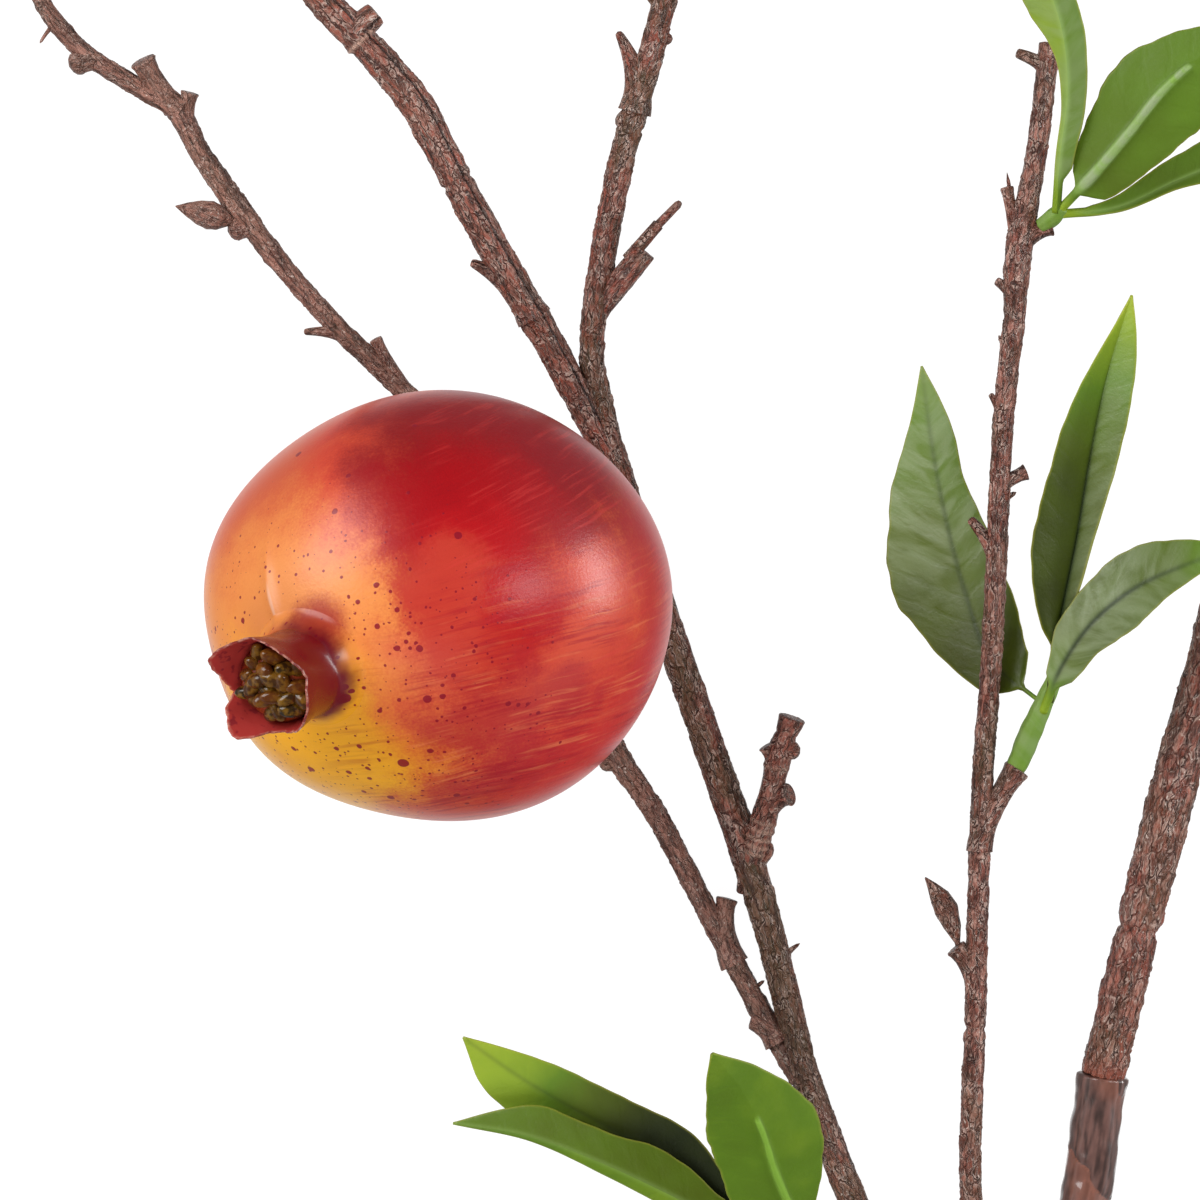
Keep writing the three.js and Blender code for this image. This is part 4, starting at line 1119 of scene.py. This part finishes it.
def calyx_shell():
    """The calyx as rings of points, each with how far it is rim, inside and high up."""
    angle = np.linspace(0, FULL_TURN, 360, endpoint=False)
    top = POLE + rim_level(angle)
    rings, notes = [], {}

    def row(out, up, rim=0.0, inside=0.0, high=0.0):
        rings.append(in_fruit(out, up, angle))
        for name, value in (("rim", rim), ("inside", inside), ("high", high)):
            notes.setdefault(name, []).append(np.broadcast_to(value, angle.shape))

    def flare(up):
        """How far the tube's outside stands from the axis at a height."""
        over = up - POLE
        return (TUBE + (MOUTH - TUBE) * np.clip((over - 4) / (TUBE_TOP - 4), 0, 1) ** 2
                + 0.22 * np.clip(over - TUBE_TOP, 0, None)
                + 0.15 * np.sin(3 * angle + 1) + 0.12 * np.sin(7 * angle + over * 0.4))

    # The toe, under the skin, and the fillet that leaves the skin at a tangent.
    for share in np.linspace(0, 1, 4)[:-1]:
        tilt = 0.26 * (0.4 + 0.6 * share)
        depth = skin_radius(tilt, angle) - 1.6
        row(depth * np.sin(tilt), depth * np.cos(tilt))
    for share in np.linspace(0, 1, 16):
        tilt = 0.285 - 0.087 * share
        skin = skin_radius(tilt, angle)
        out = skin * np.sin(tilt)
        up = skin * np.cos(tilt) + 3.4 * share ** 2.5 - 0.1 * (1 - share) ** 2 - 0.02
        row(out, up, high=share * 0.3)
    base_out, base_up = out, up
    for share in np.linspace(0.03, 1, 28):
        up = base_up + (top - base_up) * share
        out = flare(up) + (base_out - flare(up)) * np.exp(-share * 12)
        row(out, up, high=0.3 + 0.7 * share, rim=np.clip((share - 0.96) / 0.04, 0, 1))
    # Over the rim, down the inside and across the floor.
    rim_out, rim_up = out, up
    row(rim_out - THIN_WALL * 0.3, rim_up + 0.16, rim=1.0, high=1.0)
    row(rim_out - THIN_WALL * 0.75, rim_up + 0.12, rim=1.0, high=1.0, inside=0.5)
    for share in np.linspace(0, 1, 24):
        up = (rim_up - 0.05) * (1 - share) + (POLE + TUBE_FLOOR) * share
        row(flare(up) - (THIN_WALL + (WALL - THIN_WALL) * min(1, share * 3)), up, inside=1.0,
            rim=max(0.0, 1 - share * 40), high=1 - share)
    for share in (0.66, 0.33, 0.08):
        row(share * (TUBE - WALL), POLE + TUBE_FLOOR, inside=1.0)
    return shell(rings, notes)


# %% Calyx paint
def calyx_material():
    material, tree = new_material("Lacquered calyx", IOR=1.45, Roughness=0.25)
    paint, place = add(tree, "ShaderNodeGroup", node_tree=PAINT), add(tree, "place")
    note = notes_on(tree, ("rim", "inside", "high"))
    aim = (place - metres(in_fruit(0.0, 44.0, 0.0))).to("vector normalize")
    cloud = place.to("noise", 140.0, 3.0)
    # Crimson comes from above and the right; the upper left flank stays orange.
    lit = aim.to("agreement", (0.62, 0.10, 0.78)) + (cloud - 0.5) * 0.9
    body = add(tree, "coat", "#CC5C38", lit.to("ramp", -0.45, 0.15), "#6E0216")
    spray = (note["high"] + (cloud - 0.5) * 0.3).to("ramp", 0.1, 0.3)
    dots = place.to("noise", 520.0, 2.0).to("ramp", 0.56, 0.66, 0.0, 0.6)
    inner = add(tree, "coat", "#B43A36", dots, "#74182A")
    walls = paint.to("coat", spray, body).to("coat", note["inside"], inner)
    torn = note["rim"] * place.to("noise", 900.0).to("ramp", 0.42, 0.66, 0.1, 0.6)
    return finished(material, walls.to("coat", torn, "#D99A84"), cloud, 0.25, 0.8)


CALYX = calyx_material()
hand_over(make_piece("calyx", [calyx_shell()], CALYX), "calyx", "calyx")

# %% [markdown]
# ## The stamens
#
# The mouth of the calyx is stuffed with glossy beads on rust-orange glue, in place of dried
# stamens. Each bead is the same grain of plastic, so Geometry Nodes can scatter it: points on
# a low dome, spaced by the golden angle, each with a bead that is turned at random.

# %% Bead tree
def bead_tree():
    tree, inputs = start_tree("Stamen beads", {
        "Count": 22, "Dome radius": 6.6, "Dome height": 2.2, "Bead width": 3.0,
        "Bead length": 1.7, "Seed": 3})
    seed, width = inputs["Seed"], inputs["Bead width"]
    number = add(tree, "GeometryNodeInputIndex")
    share = (number + 0.5) / inputs["Count"]
    reach = share.to("sqrt") * inputs["Dome radius"]
    turn = number * (math.pi * (3 - math.sqrt(5)))
    dome = (share * -1.0 + 1.0) * inputs["Dome height"]
    flat = (reach * turn.to("cosine")).to("join", reach * turn.to("sine"), dome)
    jitter = add(tree, "random", {0: (-0.5, -0.5, -0.9), 1: (0.5, 0.5, 0.9), "Seed": seed},
                 data_type="FLOAT_VECTOR")
    points = add(tree, "GeometryNodePoints", {"Count": inputs["Count"]})
    placed = add(tree, "GeometryNodeSetPosition",
                 {"Geometry": points, "Position": flat + jitter})
    ball = add(tree, "GeometryNodeMeshUVSphere", {"Segments": 24, "Rings": 16, "Radius": 0.5})
    size = width.to("join", width, width * inputs["Bead length"])
    bead = add(tree, "GeometryNodeTransform", {"Geometry": ball, "Scale": size})
    tip = add(tree, "random", {0: (-1.0, -1.0, -0.5), 1: (1.0, 1.0, 0.9), "Seed": seed + 1.0},
              data_type="FLOAT_VECTOR")
    facing = add(tree, "FunctionNodeAlignRotationToVector", {"Vector": tip}, axis="Z")
    grade = add(tree, "random", {2: 0.8, 3: 1.15, "Seed": seed + 2.0}, out=1)
    beads = add(tree, "GeometryNodeInstanceOnPoints",
                {"Points": placed, "Instance": bead, "Rotation": facing, "Scale": grade})
    luck = add(tree, "random", {2: 0.0, 3: 1.0, "Seed": seed + 5.0}, out=1)
    return finish_tree(beads.to("keep", "tint", luck, domain="INSTANCE"), inputs)


# %% [markdown]
# The beads are dark olive brown with a wet gloss. Glue shows between them, so the same
# material turns rust orange low down, on the plug of glue, which a note on the plug's points
# tells.

# %% Bead material
def bead_material():
    material, tree = new_material("Glossy bead plastic", IOR=1.5, Roughness=0.14)
    note = notes_on(tree, ("tint", "glue"))
    mottle = add(tree, "place").to("noise", 700.0, 3.0)
    paint = add(tree, "coat", "#281E0C", mottle.to("ramp", 0.4, 0.62), "#745418")
    paint = paint.to("coat", note["tint"] * 0.45, "#7A3C14").to("coat", note["glue"], "#7A2C0C")
    return finished(material, paint, mottle, 0.3, 0.3)


BEADS = bead_material()
cluster = grow("stamens", bpy.data.meshes.new("stamens"), bead_tree(), BEADS, Seed=3)
# The tree works round its own zero in millimetres; the beads are then set into the calyx.
BEAD_BASE = POLE + TUBE_TOP - 0.6
flat = np.empty(len(cluster.data.vertices) * 3, np.float32)
cluster.data.vertices.foreach_get("co", flat)
flat = flat.reshape(-1, 3)
seated = (np.outer(flat[:, 0] - 0.9, LEAN_WAY) + np.outer(flat[:, 1], ACROSS_WAY)
          + np.outer(flat[:, 2] + BEAD_BASE, CALYX_WAY)) * FRUIT_STRETCH + FRUIT_CENTRE
cluster.data.vertices.foreach_set("co", metres(seated).astype(np.float32).ravel())
cluster.data.update()
# A plug of glue fills the tube under them: its rings, each a radius and a height.
PLUG = [(7.0, TUBE_FLOOR + 0.4), (7.4, 7.0), (7.6, TUBE_TOP - 1.6), (6.0, TUBE_TOP + 0.2),
        (3.0, TUBE_TOP + 1.2), (0.3, TUBE_TOP + 1.5)]
angle = np.linspace(0, FULL_TURN, 40, endpoint=False)
plug = [in_fruit(out, POLE + up, angle) for out, up in PLUG]
glue = make_piece("stamen_glue", [shell(plug, {"glue": 1.0})], BEADS)
hand_over(cluster, "stamens", "stamens")
hand_over(glue, "stamens", "stamens")

# %% [markdown]
# ## The leaves' shape
#
# The leaves are pressed from thin plastic over a wire: a round petiole opens into a blade with
# a crease along its middle, and a raised rib runs along its underside for part of its length.
# A leaf is swept ring by ring along its midrib. Its two halves have widths of their own, and
# each slopes up or down by an angle of its own, which folds, rolls and twists the blade.

# %% One leaf
LEAF_ROWS, LEAF_HALF = 80, 20  # rings along a leaf, and points from its rib to its rim
LEAF_THICK = 0.24  # half the thickness of a blade, in millimetres
LEAF_WAVE = 0.3  # how far the rim waves, in millimetres for each 8 of half width
RIM_WIDTH = 0.4  # the pale pressed rim
VEIN_GAP = 7.5  # millimetres from one swelling between side veins to the next
FLOOR_EASE = 5.0  # how softly a tip that reaches the table bends, in square millimetres


def eased(values, share):
    """A smooth run through values that are spaced evenly over shares from 0 to 1."""
    values = np.atleast_1d(np.asarray(values, float))
    if len(values) == 1:
        return np.full_like(share, values[0])
    padded = np.concatenate([[2 * values[0] - values[1]], values, [2 * values[-1] - values[-2]]])
    t = np.clip(share, 0, 1) * (len(values) - 1)
    i = np.minimum(t.astype(int), len(values) - 2)
    t = t - i
    a, b, c, d = (padded[i + k] for k in range(4))
    return 0.5 * (2 * b + (c - a) * t + (2 * a - 5 * b + 4 * c - d) * t**2
                  + (3 * b - 3 * c + d - a) * t**3)


def arc(foot, length, heading, climb):
    """The midrib of a leaf that turns and bends evenly, as a few points."""
    share = np.linspace(0, 1, 41)
    turned, raised = np.radians(eased(heading, share)), np.radians(eased(climb, share))
    way = np.stack([np.cos(turned) * np.cos(raised), np.sin(turned) * np.cos(raised),
                    np.sin(raised)], 1)
    points = np.vstack([foot, foot + np.cumsum(way[:-1] + way[1:], 0) / 2 * length / 40])
    return points[::8]


def plain(width):
    """Half widths of a plain blade, from its petiole to its tip."""
    t = np.clip((np.linspace(0, 1, 11) - 0.1) / (1 - 0.1), 0, 1)
    full = (0.52 ** 0.75) * (0.48 ** 0.7)
    return np.maximum(width / 2 * t ** 0.75 * (1 - t) ** 0.7 / full, [*[0.9] * 10, 0.2])


def plain_leaf(foot, length, heading, climb, widths, slopes):
    """What leaf() needs for a plain blade."""
    return dict(rib=arc(foot, length, heading, climb), left=plain(widths[0]),
                right=plain(widths[1]), slope_left=slopes[0], slope_right=slopes[1])


def leaf(rib, left, right, slope_left=(10,), slope_right=(10,), neck=0.1, turned=False,
         keel=(1.1, 0.5, 0.62, 0.7), tone=(0.3, 0.5, 0.75), tone_right=None, crease=-0.5,
         bloom=0.0, painted_sheen_right=None, painted_sheen_rib=0.0, quilt=0.1, seed=0):
    """The shell of one leaf along its midrib; turned shows its underside to the sky.

    The keel is the rib on the underside: its half width at its start and end, the share of the
    leaf where it ends, and its height.
    """
    phase = np.random.default_rng(seed).uniform(0, 6.28, 8)
    share = np.linspace(0, 1, LEAF_ROWS + 1)
    middle = np.stack([eased(column, share) for column in np.asarray(rib, float).T], 1)
    frames = np.array([frame_of(way) for way in np.gradient(middle, axis=0)])
    side, over = frames[:, 1:2], frames[:, 2:3]
    # From here on, rows run along the leaf and columns across it, from the left rim (-1) to
    # the right one (1). The points lie closest at the rib and at the rims.
    s, run = share[:, None], run_along(middle)[:, None]
    x = np.linspace(-1, 1, 2 * LEAF_HALF + 1)
    x = 0.4 * x + 0.6 * np.sign(x) * x**2 * (3 - 2 * np.abs(x))
    away = np.abs(x)
    flat = np.clip((s - neck * 0.7) / 0.09, 0, 1)  # 0 on the round petiole, 1 on the blade

    def halves(one, other=None):
        """Values along the left half and along the right half, which may be alike."""
        other = one if other is None else other
        return np.where(x < 0, eased(one, share)[:, None], eased(other, share)[:, None])

    # The widths of the halves: a ragged outline, and a shoulder where the blade opens.
    ragged = sum(size * np.sin(share * often + turn) for size, often, turn in
                 zip((0.16, 0.10, 0.06), (19, 47, 103), phase))
    shoulder = np.sqrt(np.clip((share - neck) / 0.05, 0, 1))
    widths = []
    for values, sign in ((left, 1), (right, -0.7)):
        half = np.maximum(eased(values, share), 0.15)
        half = half * (1 + ragged * sign * 0.12 * np.clip(half / 4 - 0.3, 0, 1))
        half = np.where(share < 0.3, np.maximum(half * shoulder, half[0]), half)
        widths.append(half[:, None])
    half = np.where(x < 0, *widths)
    reach = away * half
    # The blade's height over its midrib: the slope, the waves of its rims, and the swellings
    # between its side veins.
    lift = reach * np.tan(np.radians(halves(slope_left, slope_right)) * flat)
    ripple = np.sin(s * 11 + phase[4] + np.sign(x) * 0.9) + 0.5 * np.sin(s * 25 + phase[6])
    lift = lift + LEAF_WAVE * ripple * away**2 * flat * half / 8
    stray = 1.6 * np.sin(s * 9 + phase[1]) + 1.1 * np.sin(reach * 0.7 + phase[2])
    swell = np.sin(FULL_TURN * (run - 0.75 * reach + stray) / VEIN_GAP + phase[5])
    swell = swell * (0.6 + 0.4 * np.sin(s * 14 + phase[3]))
    lift = lift + quilt * swell * np.clip(reach / 2, 0, 1) * (1 - away**4) * flat
    pitch = np.gradient(lift, axis=1) / np.gradient(x * half, axis=1)
    normal = over - side * np.clip(pitch, -4, 4)[..., None]
    normal = normal / np.linalg.norm(normal, axis=2)[..., None] * (-1 if turned else 1)
    # Its thickness, with a groove along the upper side and the keel on the underside.
    thick = (LEAF_THICK * np.sqrt(np.clip(1 - away**6, 0, 1)) + 0.04) * flat
    thick = thick + 0.9 * np.sqrt(np.clip(1 - away**2, 0, 1)) * (1 - flat)
    wide = keel[0] + (keel[1] - keel[0]) * s / keel[2]
    ridge = keel[3] * np.exp(-((reach / wide) ** 4)) * flat
    ridge = ridge * np.clip((keel[2] - s) / 0.012, 0, 1)
    at_rib = np.exp(-((reach / 0.5) ** 2)) * flat
    centre = middle[:, None] + (x * half)[..., None] * side + lift[..., None] * [0, 0, 1]
    top = centre + normal * (thick - 0.22 * at_rib * (1 - s))[..., None]
    bottom = centre - normal * (thick + ridge)[..., None]
    rings = np.concatenate([top, bottom[:, -2:0:-1]], axis=1)
    # A tip that reaches the table bends along it.
    rings[..., 2] = 0.5 * (rings[..., 2] + np.sqrt(rings[..., 2]**2 + FLOOR_EASE))
    rim = np.clip(1 - (1 - away) * half / RIM_WIDTH, 0, 1) * flat
    # How much painted sheen each half gets, on the blade only.
    shade, sheen_share = halves(tone, tone_right), halves(bloom, painted_sheen_right) * flat
    notes = {  # on the upper side and on the underside
        "under": (0, 1), "rim": (rim, rim), "crease": (eased(crease, share)[:, None] * at_rib, 0),
        "rib": (0, np.clip(ridge / keel[3] * 2 - 0.4, 0, 1)), "tone": (shade, shade),
        # Painted sheen on both sides, and a painted highlight along the keel.
        "bloom": (sheen_share, sheen_share + painted_sheen_rib * np.clip(ridge / keel[3], 0, 1)),
        "run": (run, run), "span": (x * half, x * half)}
    for name, sides in notes.items():
        above, below = (np.broadcast_to(values, reach.shape) for values in sides)
        notes[name] = np.concatenate([above, below[:, -2:0:-1]], axis=1)
    return shell(rings, notes)


def stem(points, sides=28, tone=0.6):
    """The shell of a grooved green stem through points of [x, y, z, radius]."""
    line = end_caps(Limb(points, 0.3).line)
    angle = np.linspace(0, FULL_TURN, sides, endpoint=False)
    rings = []
    for i, (spot, way) in enumerate(zip(line, np.gradient(line[:, :3], axis=0))):
        _, side, over = frame_of(way)
        ring = spot[3] * (1 + 0.05 * np.cos(7 * angle + 0.05 * i) + 0.02 * math.sin(i * 0.5))
        rings.append(spot[:3] + (ring * np.cos(angle))[:, None] * side
                     + (ring * np.sin(angle))[:, None] * over)
    # The stem gets a little painted sheen as well.
    return shell(rings, {"under": 1, "rim": 0, "rib": 0.3, "crease": 0, "tone": tone,
                         "bloom": 0.3, "run": np.arange(len(line))[:, None] * 0.3,
                         "span": angle})


# %% [markdown]
# ## The leaves' plastic
#
# The leaves are dyed polyethylene: dark bottle green near the stem, leaf green in the middle
# and yellow green at young tips, and some of them get a greyish painted sheen. The
# underside is paler and duller, the rib on it nearly yellow, and the pressed rim shows as a
# fine pale line. Polyethylene's index is 1.51, and pressed film has a roughness near 0.4.

# %% Leaf plastic
def leaf_material():
    material, tree = new_material("Pressed leaf plastic", IOR=1.5, Roughness=0.4)
    note = notes_on(tree, ("under", "rim", "rib", "crease", "tone", "bloom", "run", "span"))
    run, span = note["run"], note["span"]
    blade = run.to("join", span, note["under"] * 9.0)
    tone = note["tone"] + (blade.to("noise", 0.11, 3.0) - 0.5) * 0.2
    paint = tone.to("graded", stops=[
        (0.0, "#1E260A"), (0.2, "#394307"), (0.4, "#50620C"), (0.6, "#5E8018"),
        (0.8, "#8EA826"), (1.0, "#B4C238")])
    # The painted sheen lies in streaks that run along the side veins, forwards at a slant.
    slant = run + span.to("absolute") * -0.75
    streaks = (slant * 0.2).to("join", span * 0.1).to("noise", 1.0, 4.0, 0.5, 1.2)
    coats = [  # how much of each coat, and its colour
        (note["rib"] * 0.9, "#86B23C"),
        # Painted sheen: a greyish reflection painted in streaks.
        (note["bloom"] * streaks.to("ramp", 0.32, 0.68, 0.15, 0.9), "#9CAA84"),
        ((note["crease"] * -1.0).to("maximum", 0.0), "#1E2C18"),
        (note["crease"].to("maximum", 0.0), "#9DBC6A"),
        (note["rim"] * 0.45, "#B4B040"),
    ]
    for amount, code in coats:
        paint = paint.to("coat", amount, code)
    # Side veins run forwards at a slant, 5.5 mm apart; a fine grain lies over them.
    phase = (slant + blade.to("noise", 0.35, 2.0) * 2.2) * (FULL_TURN / 5.5)
    fine = blade.to("noise", 1.3, 3.0)
    height = phase.to("sine").to("ramp", 0.7, 1.0) * -0.4 + fine
    gloss = fine.to("ramp", 0.3, 0.7, 0.42, 0.52) + note["under"] * 0.12
    return finished(material, paint, height, 0.3, 0.25, roughness=gloss)


LEAF = leaf_material()

# %% [markdown]
# ## The sprigs
#
# Each sprig is a short green stem with two or three leaves, pushed onto a peg of its bough.

# %% Where the leaves grow
SPRIGS = {
    "lower_left_leaves": (
        [[55.5, -133.2, 7.2, 2.0], [49.5, -131, 8.8, 2.0], [43.5, -128.4, 11, 1.7]],
        [dict(rib=[[42.3, -129.2, 10.4], [28.3, -120.7, 10.3], [15.2, -111.1, 9.5],
                   [0.7, -103.5, 8.5], [-13.6, -95.6, 7.5], [-27.1, -86.4, 6.8]],
              left=[0.9, 1.7, 3.8, 5.9, 7.1, 7.4, 7.6, 7.6, 7.1, 5.6, 0.2],
              right=[0.9, 1.6, 3.1, 4.0, 6.6, 7.0, 6.7, 6.3, 5.5, 3.2, 0.2],
              slope_left=[-15], slope_right=[8], tone=[0.0, 0.0, 0.0, 0.05, 0.45, 0.76, 0.82],
              tone_right=[0.0, 0.0, 0.0, 0.06, 0.4, 0.74, 0.82], crease=-0.25),
         dict(rib=[[41.8, -130.4, 10.0], [28.1, -123.9, 13.0], [14.5, -116.9, 14.3],
                   [0.5, -110.3, 14.6], [-13.9, -105.1, 13.2], [-28.9, -102.9, 11.0]],
              left=[0.9, 1.4, 2.7, 3.0, 2.9, 2.6, 2.2, 1.6, 1.1, 0.7, 0.2],
              right=[0.9, 1.7, 3.4, 4.2, 6.3, 7.1, 6.0, 5.8, 6.0, 3.4, 0.2],
              slope_left=[-40], slope_right=[-8], tone=[0.6, 0.66, 0.62, 0.54],
              tone_right=[0.4, 0.42, 0.46, 0.52], crease=0.2),
         dict(rib=[[42.9, -127.8, 11.5], [37.9, -119.7, 19.2], [34.0, -110.9, 27.0],
                   [30.9, -101.4, 34.2], [26.6, -92.6, 41.6], [21.1, -85.4, 50.0]],
              left=[0.9, 1.9, 7.1, 9.9, 10.1, 10.5, 10.4, 9.5, 7.6, 5.0, 0.4],
              right=[0.9, 1.5, 4.7, 7.9, 9.8, 10.8, 11.0, 9.0, 5.9, 3.1, 0.4],
              slope_left=[-8], slope_right=[-8], turned=True, keel=(0.8, 0.5, 0.66, 1.1),
              tone=[0.56, 0.6, 0.62])]),
    "side_leaves": (
        [[79.3, -35.0, 19.9, 1.6], [81.4, -31.6, 20.6, 2.0], [83.4, -26.6, 21.4, 2.2],
         [85.8, -21.0, 22.4, 1.9], [88.3, -15.0, 23.8, 1.5]],
        [dict(rib=[[86.5, -20.6, 22.0], [76.6, -11.4, 16.1], [71.6, 2.3, 12.8],
                   [67.9, 16.8, 11.6], [65.2, 31.5, 11.0], [63.2, 46.0, 12.0]],
              left=[0.45, 4.0, 6.8, 10.1, 12.8, 13.1, 11.4, 8.8, 5.2, 2.4, 0.2],
              right=[0.45, 5.2, 7.2, 8.4, 8.3, 7.8, 6.2, 4.9, 4.7, 2.9, 0.2], neck=0.085,
              slope_left=[-14, -22, -24, -20], slope_right=[20, 16, 12, 8], quilt=0.14,
              tone=[0.95, 0.26, 0.22, 0.26, 0.3, 0.36, 0.42, 0.48, 0.56, 0.62, 0.68],
              tone_right=[0.95, 0.3, 0.26, 0.32, 0.38, 0.42, 0.46, 0.5, 0.56, 0.62, 0.68],
              bloom=[0.0, 0.0, 0.2, 0.55, 0.5, 0.4], painted_sheen_right=[0.0, 0.0, 0.1, 0.5, 0.6, 0.4],
              crease=[-0.2, -0.5, -0.5, -0.35, -0.1]),
         dict(rib=[[87.1, -19.8, 24.0], [89.0, -4.0, 26.0], [91.9, 11.7, 28.2],
                   [94.3, 27.5, 30.6], [97.3, 43.2, 32.9], [101.7, 58.3, 36.0]],
              left=[0.9, 0.6, 4.6, 7.7, 8.7, 8.3, 7.3, 5.9, 3.9, 1.8, 0.2],
              right=[0.9, 0.5, 1.6, 2.5, 3.1, 4.1, 5.0, 5.5, 5.1, 3.4, 0.2],
              slope_left=[30, 30, 26, 20], slope_right=[50, 46, 36, 24], neck=0.12,
              tone=[0.14, 0.2, 0.24, 0.36, 0.66, 0.88],
              tone_right=[0.26, 0.26, 0.3, 0.4, 0.6, 0.86], painted_sheen_right=[0.1, 0.2, 0.3, 0.2, 0.0],
              crease=[-0.9, -0.9, -0.9, -0.8, -0.3, 0.0]),
         dict(rib=[[85.9, -21.7, 23.5], [89.3, -12.6, 28.0], [94.7, -4.3, 31.8],
                   [102.6, 2.3, 34.3], [112.2, 6.7, 35.0], [122.3, 10.0, 34.0]],
              left=[0.9, 1.7, 2.8, 4.6, 5.4, 6.3, 6.9, 6.6, 5.3, 3.0, 0.2],
              right=[0.9, 2.2, 3.7, 4.4, 5.6, 6.1, 5.6, 4.3, 3.0, 1.8, 0.2],
              slope_left=[-30, -22, -18], slope_right=[24, 10, 6],
              tone=[0.8, 0.42, 0.34, 0.42, 0.8], tone_right=[0.8, 0.36, 0.34, 0.45, 0.8],
              bloom=[0.4, 0.55, 0.5, 0.3, 0.0], crease=[-0.6, -0.8, -0.8, -0.5, 0.0])]),
    "tip_leaves": (
        [[85.6, 72.6, 24.6, 1.5], [87.4, 73.9, 26.0, 1.7], [89.2, 75.6, 27.6, 1.2]],
        [dict(rib=[[88.1, 74.9, 27.5], [88.5, 85.8, 32.3], [89.5, 97.1, 36.0],
                   [88.1, 108.3, 39.8], [84.0, 119.2, 42.3], [77.4, 129.0, 43.0]],
              left=[0.9, 0.8, 0.8, 0.9, 1.3, 1.9, 3.4, 5.1, 5.2, 3.4, 0.2],
              right=[0.9, 2.0, 2.7, 3.3, 3.5, 3.7, 4.0, 3.9, 3.4, 2.1, 0.2],
              slope_left=[-30, -24, -18], slope_right=[20], tone=[0.7, 0.7, 0.74, 0.8],
              tone_right=[0.55, 0.56, 0.6, 0.68], bloom=0.3, crease=0.4),
         dict(rib=[[88.8, 75.3, 27.5], [95.0, 82.0, 32.8], [101.3, 89.6, 36.8],
                   [107.6, 97.5, 39.6], [115.6, 104.3, 40.9], [124.5, 109.9, 41.0]],
              left=[0.9, 1.8, 5.1, 7.3, 8.6, 9.5, 9.7, 7.9, 5.6, 2.9, 0.2],
              right=[0.9, 3.7, 6.1, 7.2, 8.5, 9.7, 10.3, 9.5, 7.0, 3.7, 0.2],
              slope_left=[-12], slope_right=[-9], turned=True, keel=(1.1, 0.5, 0.72, 1.0),
              tone=[0.85, 0.56, 0.5, 0.5, 0.52, 0.54, 0.56, 0.58, 0.58, 0.6, 0.6],
              painted_sheen_rib=0.9),
         dict(rib=[[88.9, 74.6, 26.5], [100.1, 75.9, 26.9], [110.7, 80.6, 27.8],
                   [121.4, 85.3, 28.0], [131.8, 90.5, 27.7], [142.2, 95.8, 27.0]],
              left=[0.9, 1.2, 2.2, 3.3, 4.3, 5.0, 5.4, 5.2, 4.0, 2.4, 0.2],
              right=[0.9, 0.8, 1.0, 1.3, 1.6, 2.6, 3.8, 4.0, 3.2, 2.0, 0.2], neck=0.06,
              slope_left=[14], slope_right=[10],
              tone=[0.9, 0.66, 0.54, 0.52, 0.52, 0.54, 0.56, 0.58, 0.6, 0.6, 0.6], crease=0.5)]),
}
# The sprigs that are alike. For each leaf: its foot, its length, its headings and climbs in
# degrees from foot to tip, the widths of its two halves, and their slopes.
PLAIN_SPRIGS = {
    "upper_left_leaves": (
        [[-66.2, 142.0, 27.9, 1.6], [-68.6, 147.6, 28.8, 1.8], [-71.2, 153.0, 29.6, 1.4]],
        [([-69.4, 149.6, 29], 70, [170, 190], [-2, -52], (18, 17), ([24, 20], [4])),
         ([-70.8, 152.2, 29.4], 70, [118, 100], [20, -14], (19, 18), ([-4], [34, 28])),
         ([-69.8, 150.6, 29.2], 58, [62, 30], [24, -6], (18, 18), ([30], [-2]))]),
    "upper_leaves": (
        [[17.3, 137.4, 21.4, 1.5], [18.7, 143, 22.2, 1.8], [19.6, 148.4, 23.2, 1.4]],
        [([18.8, 145, 22.6], 60, [128, 146], [26, -12], (18, 17), ([2], [32])),
         ([19.4, 147.6, 23], 68, [88, 70], [16, -10], (18, 18), ([36, 30], [-2])),
         ([19.2, 145.8, 22.8], 62, [38, 8], [6, -22], (19, 18), ([18], [8]))]),
    "right_tip_leaves": (
        [[145.1, 100.4, 18.9, 1.5], [146.3, 106.4, 19.6, 1.8], [147.6, 112, 20.6, 1.4]],
        [([146.4, 108.6, 20], 64, [112, 134], [22, -8], (18, 17), ([-2], [34])),
         ([147.4, 111.2, 20.4], 68, [72, 60], [14, -12], (18, 18), ([32], [4])),
         ([146.8, 109.6, 20.2], 56, [20, -8], [0, -34], (18, 18), ([14], [14]))]),
    "right_side_leaves": (
        [[134.4, 14.8, 14.4, 2.0], [140.0, 19.6, 15.2, 2.2], [146.4, 24.4, 16.4, 1.5]],
        [([143, 22, 15.8], 66, [-14, -44], [0, -30], (19, 18), ([18], [12])),
         ([145.4, 23.8, 16.2], 70, [34, 22], [12, -30], (18, 18), ([10], [30])),
         ([144, 22.8, 16], 58, [70, 62], [26, 0], (17, 17), ([38, 32], [-4]))]),
}
for name, (line, rows) in PLAIN_SPRIGS.items():
    SPRIGS[name] = (line, [plain_leaf(*row) for row in rows])
for number, (name, (line, leaves)) in enumerate(SPRIGS.items()):
    shells = [stem(line)] + [leaf(seed=10 * number + i, **each) for i, each in enumerate(leaves)]
    hand_over(make_piece(name, shells, LEAF), "leaves", name)

# %% [markdown]
# ## What is left
#
# The peg between the twig and the fruit is hidden under the fruit, but it is seen from the
# side, so it gets bark as well.

# %% The fruit's peg
twig = limbs["fruit_twig"]
root = twig.frame(0.402)[0]
end = in_fruit(0.0, 2 - float(skin_radius(math.pi, 0.0)), 0.0)
peg_line = Limb([[*root, 2.4], [*end, 2.0]])
piece = grow("fruit_stalk", line_mesh("fruit_stalk", [end_caps(peg_line.line)]), BARK_TREE, BARK,
             Sides=36, Seed=9)
hand_over(piece, "bark", "fruit_stalk")
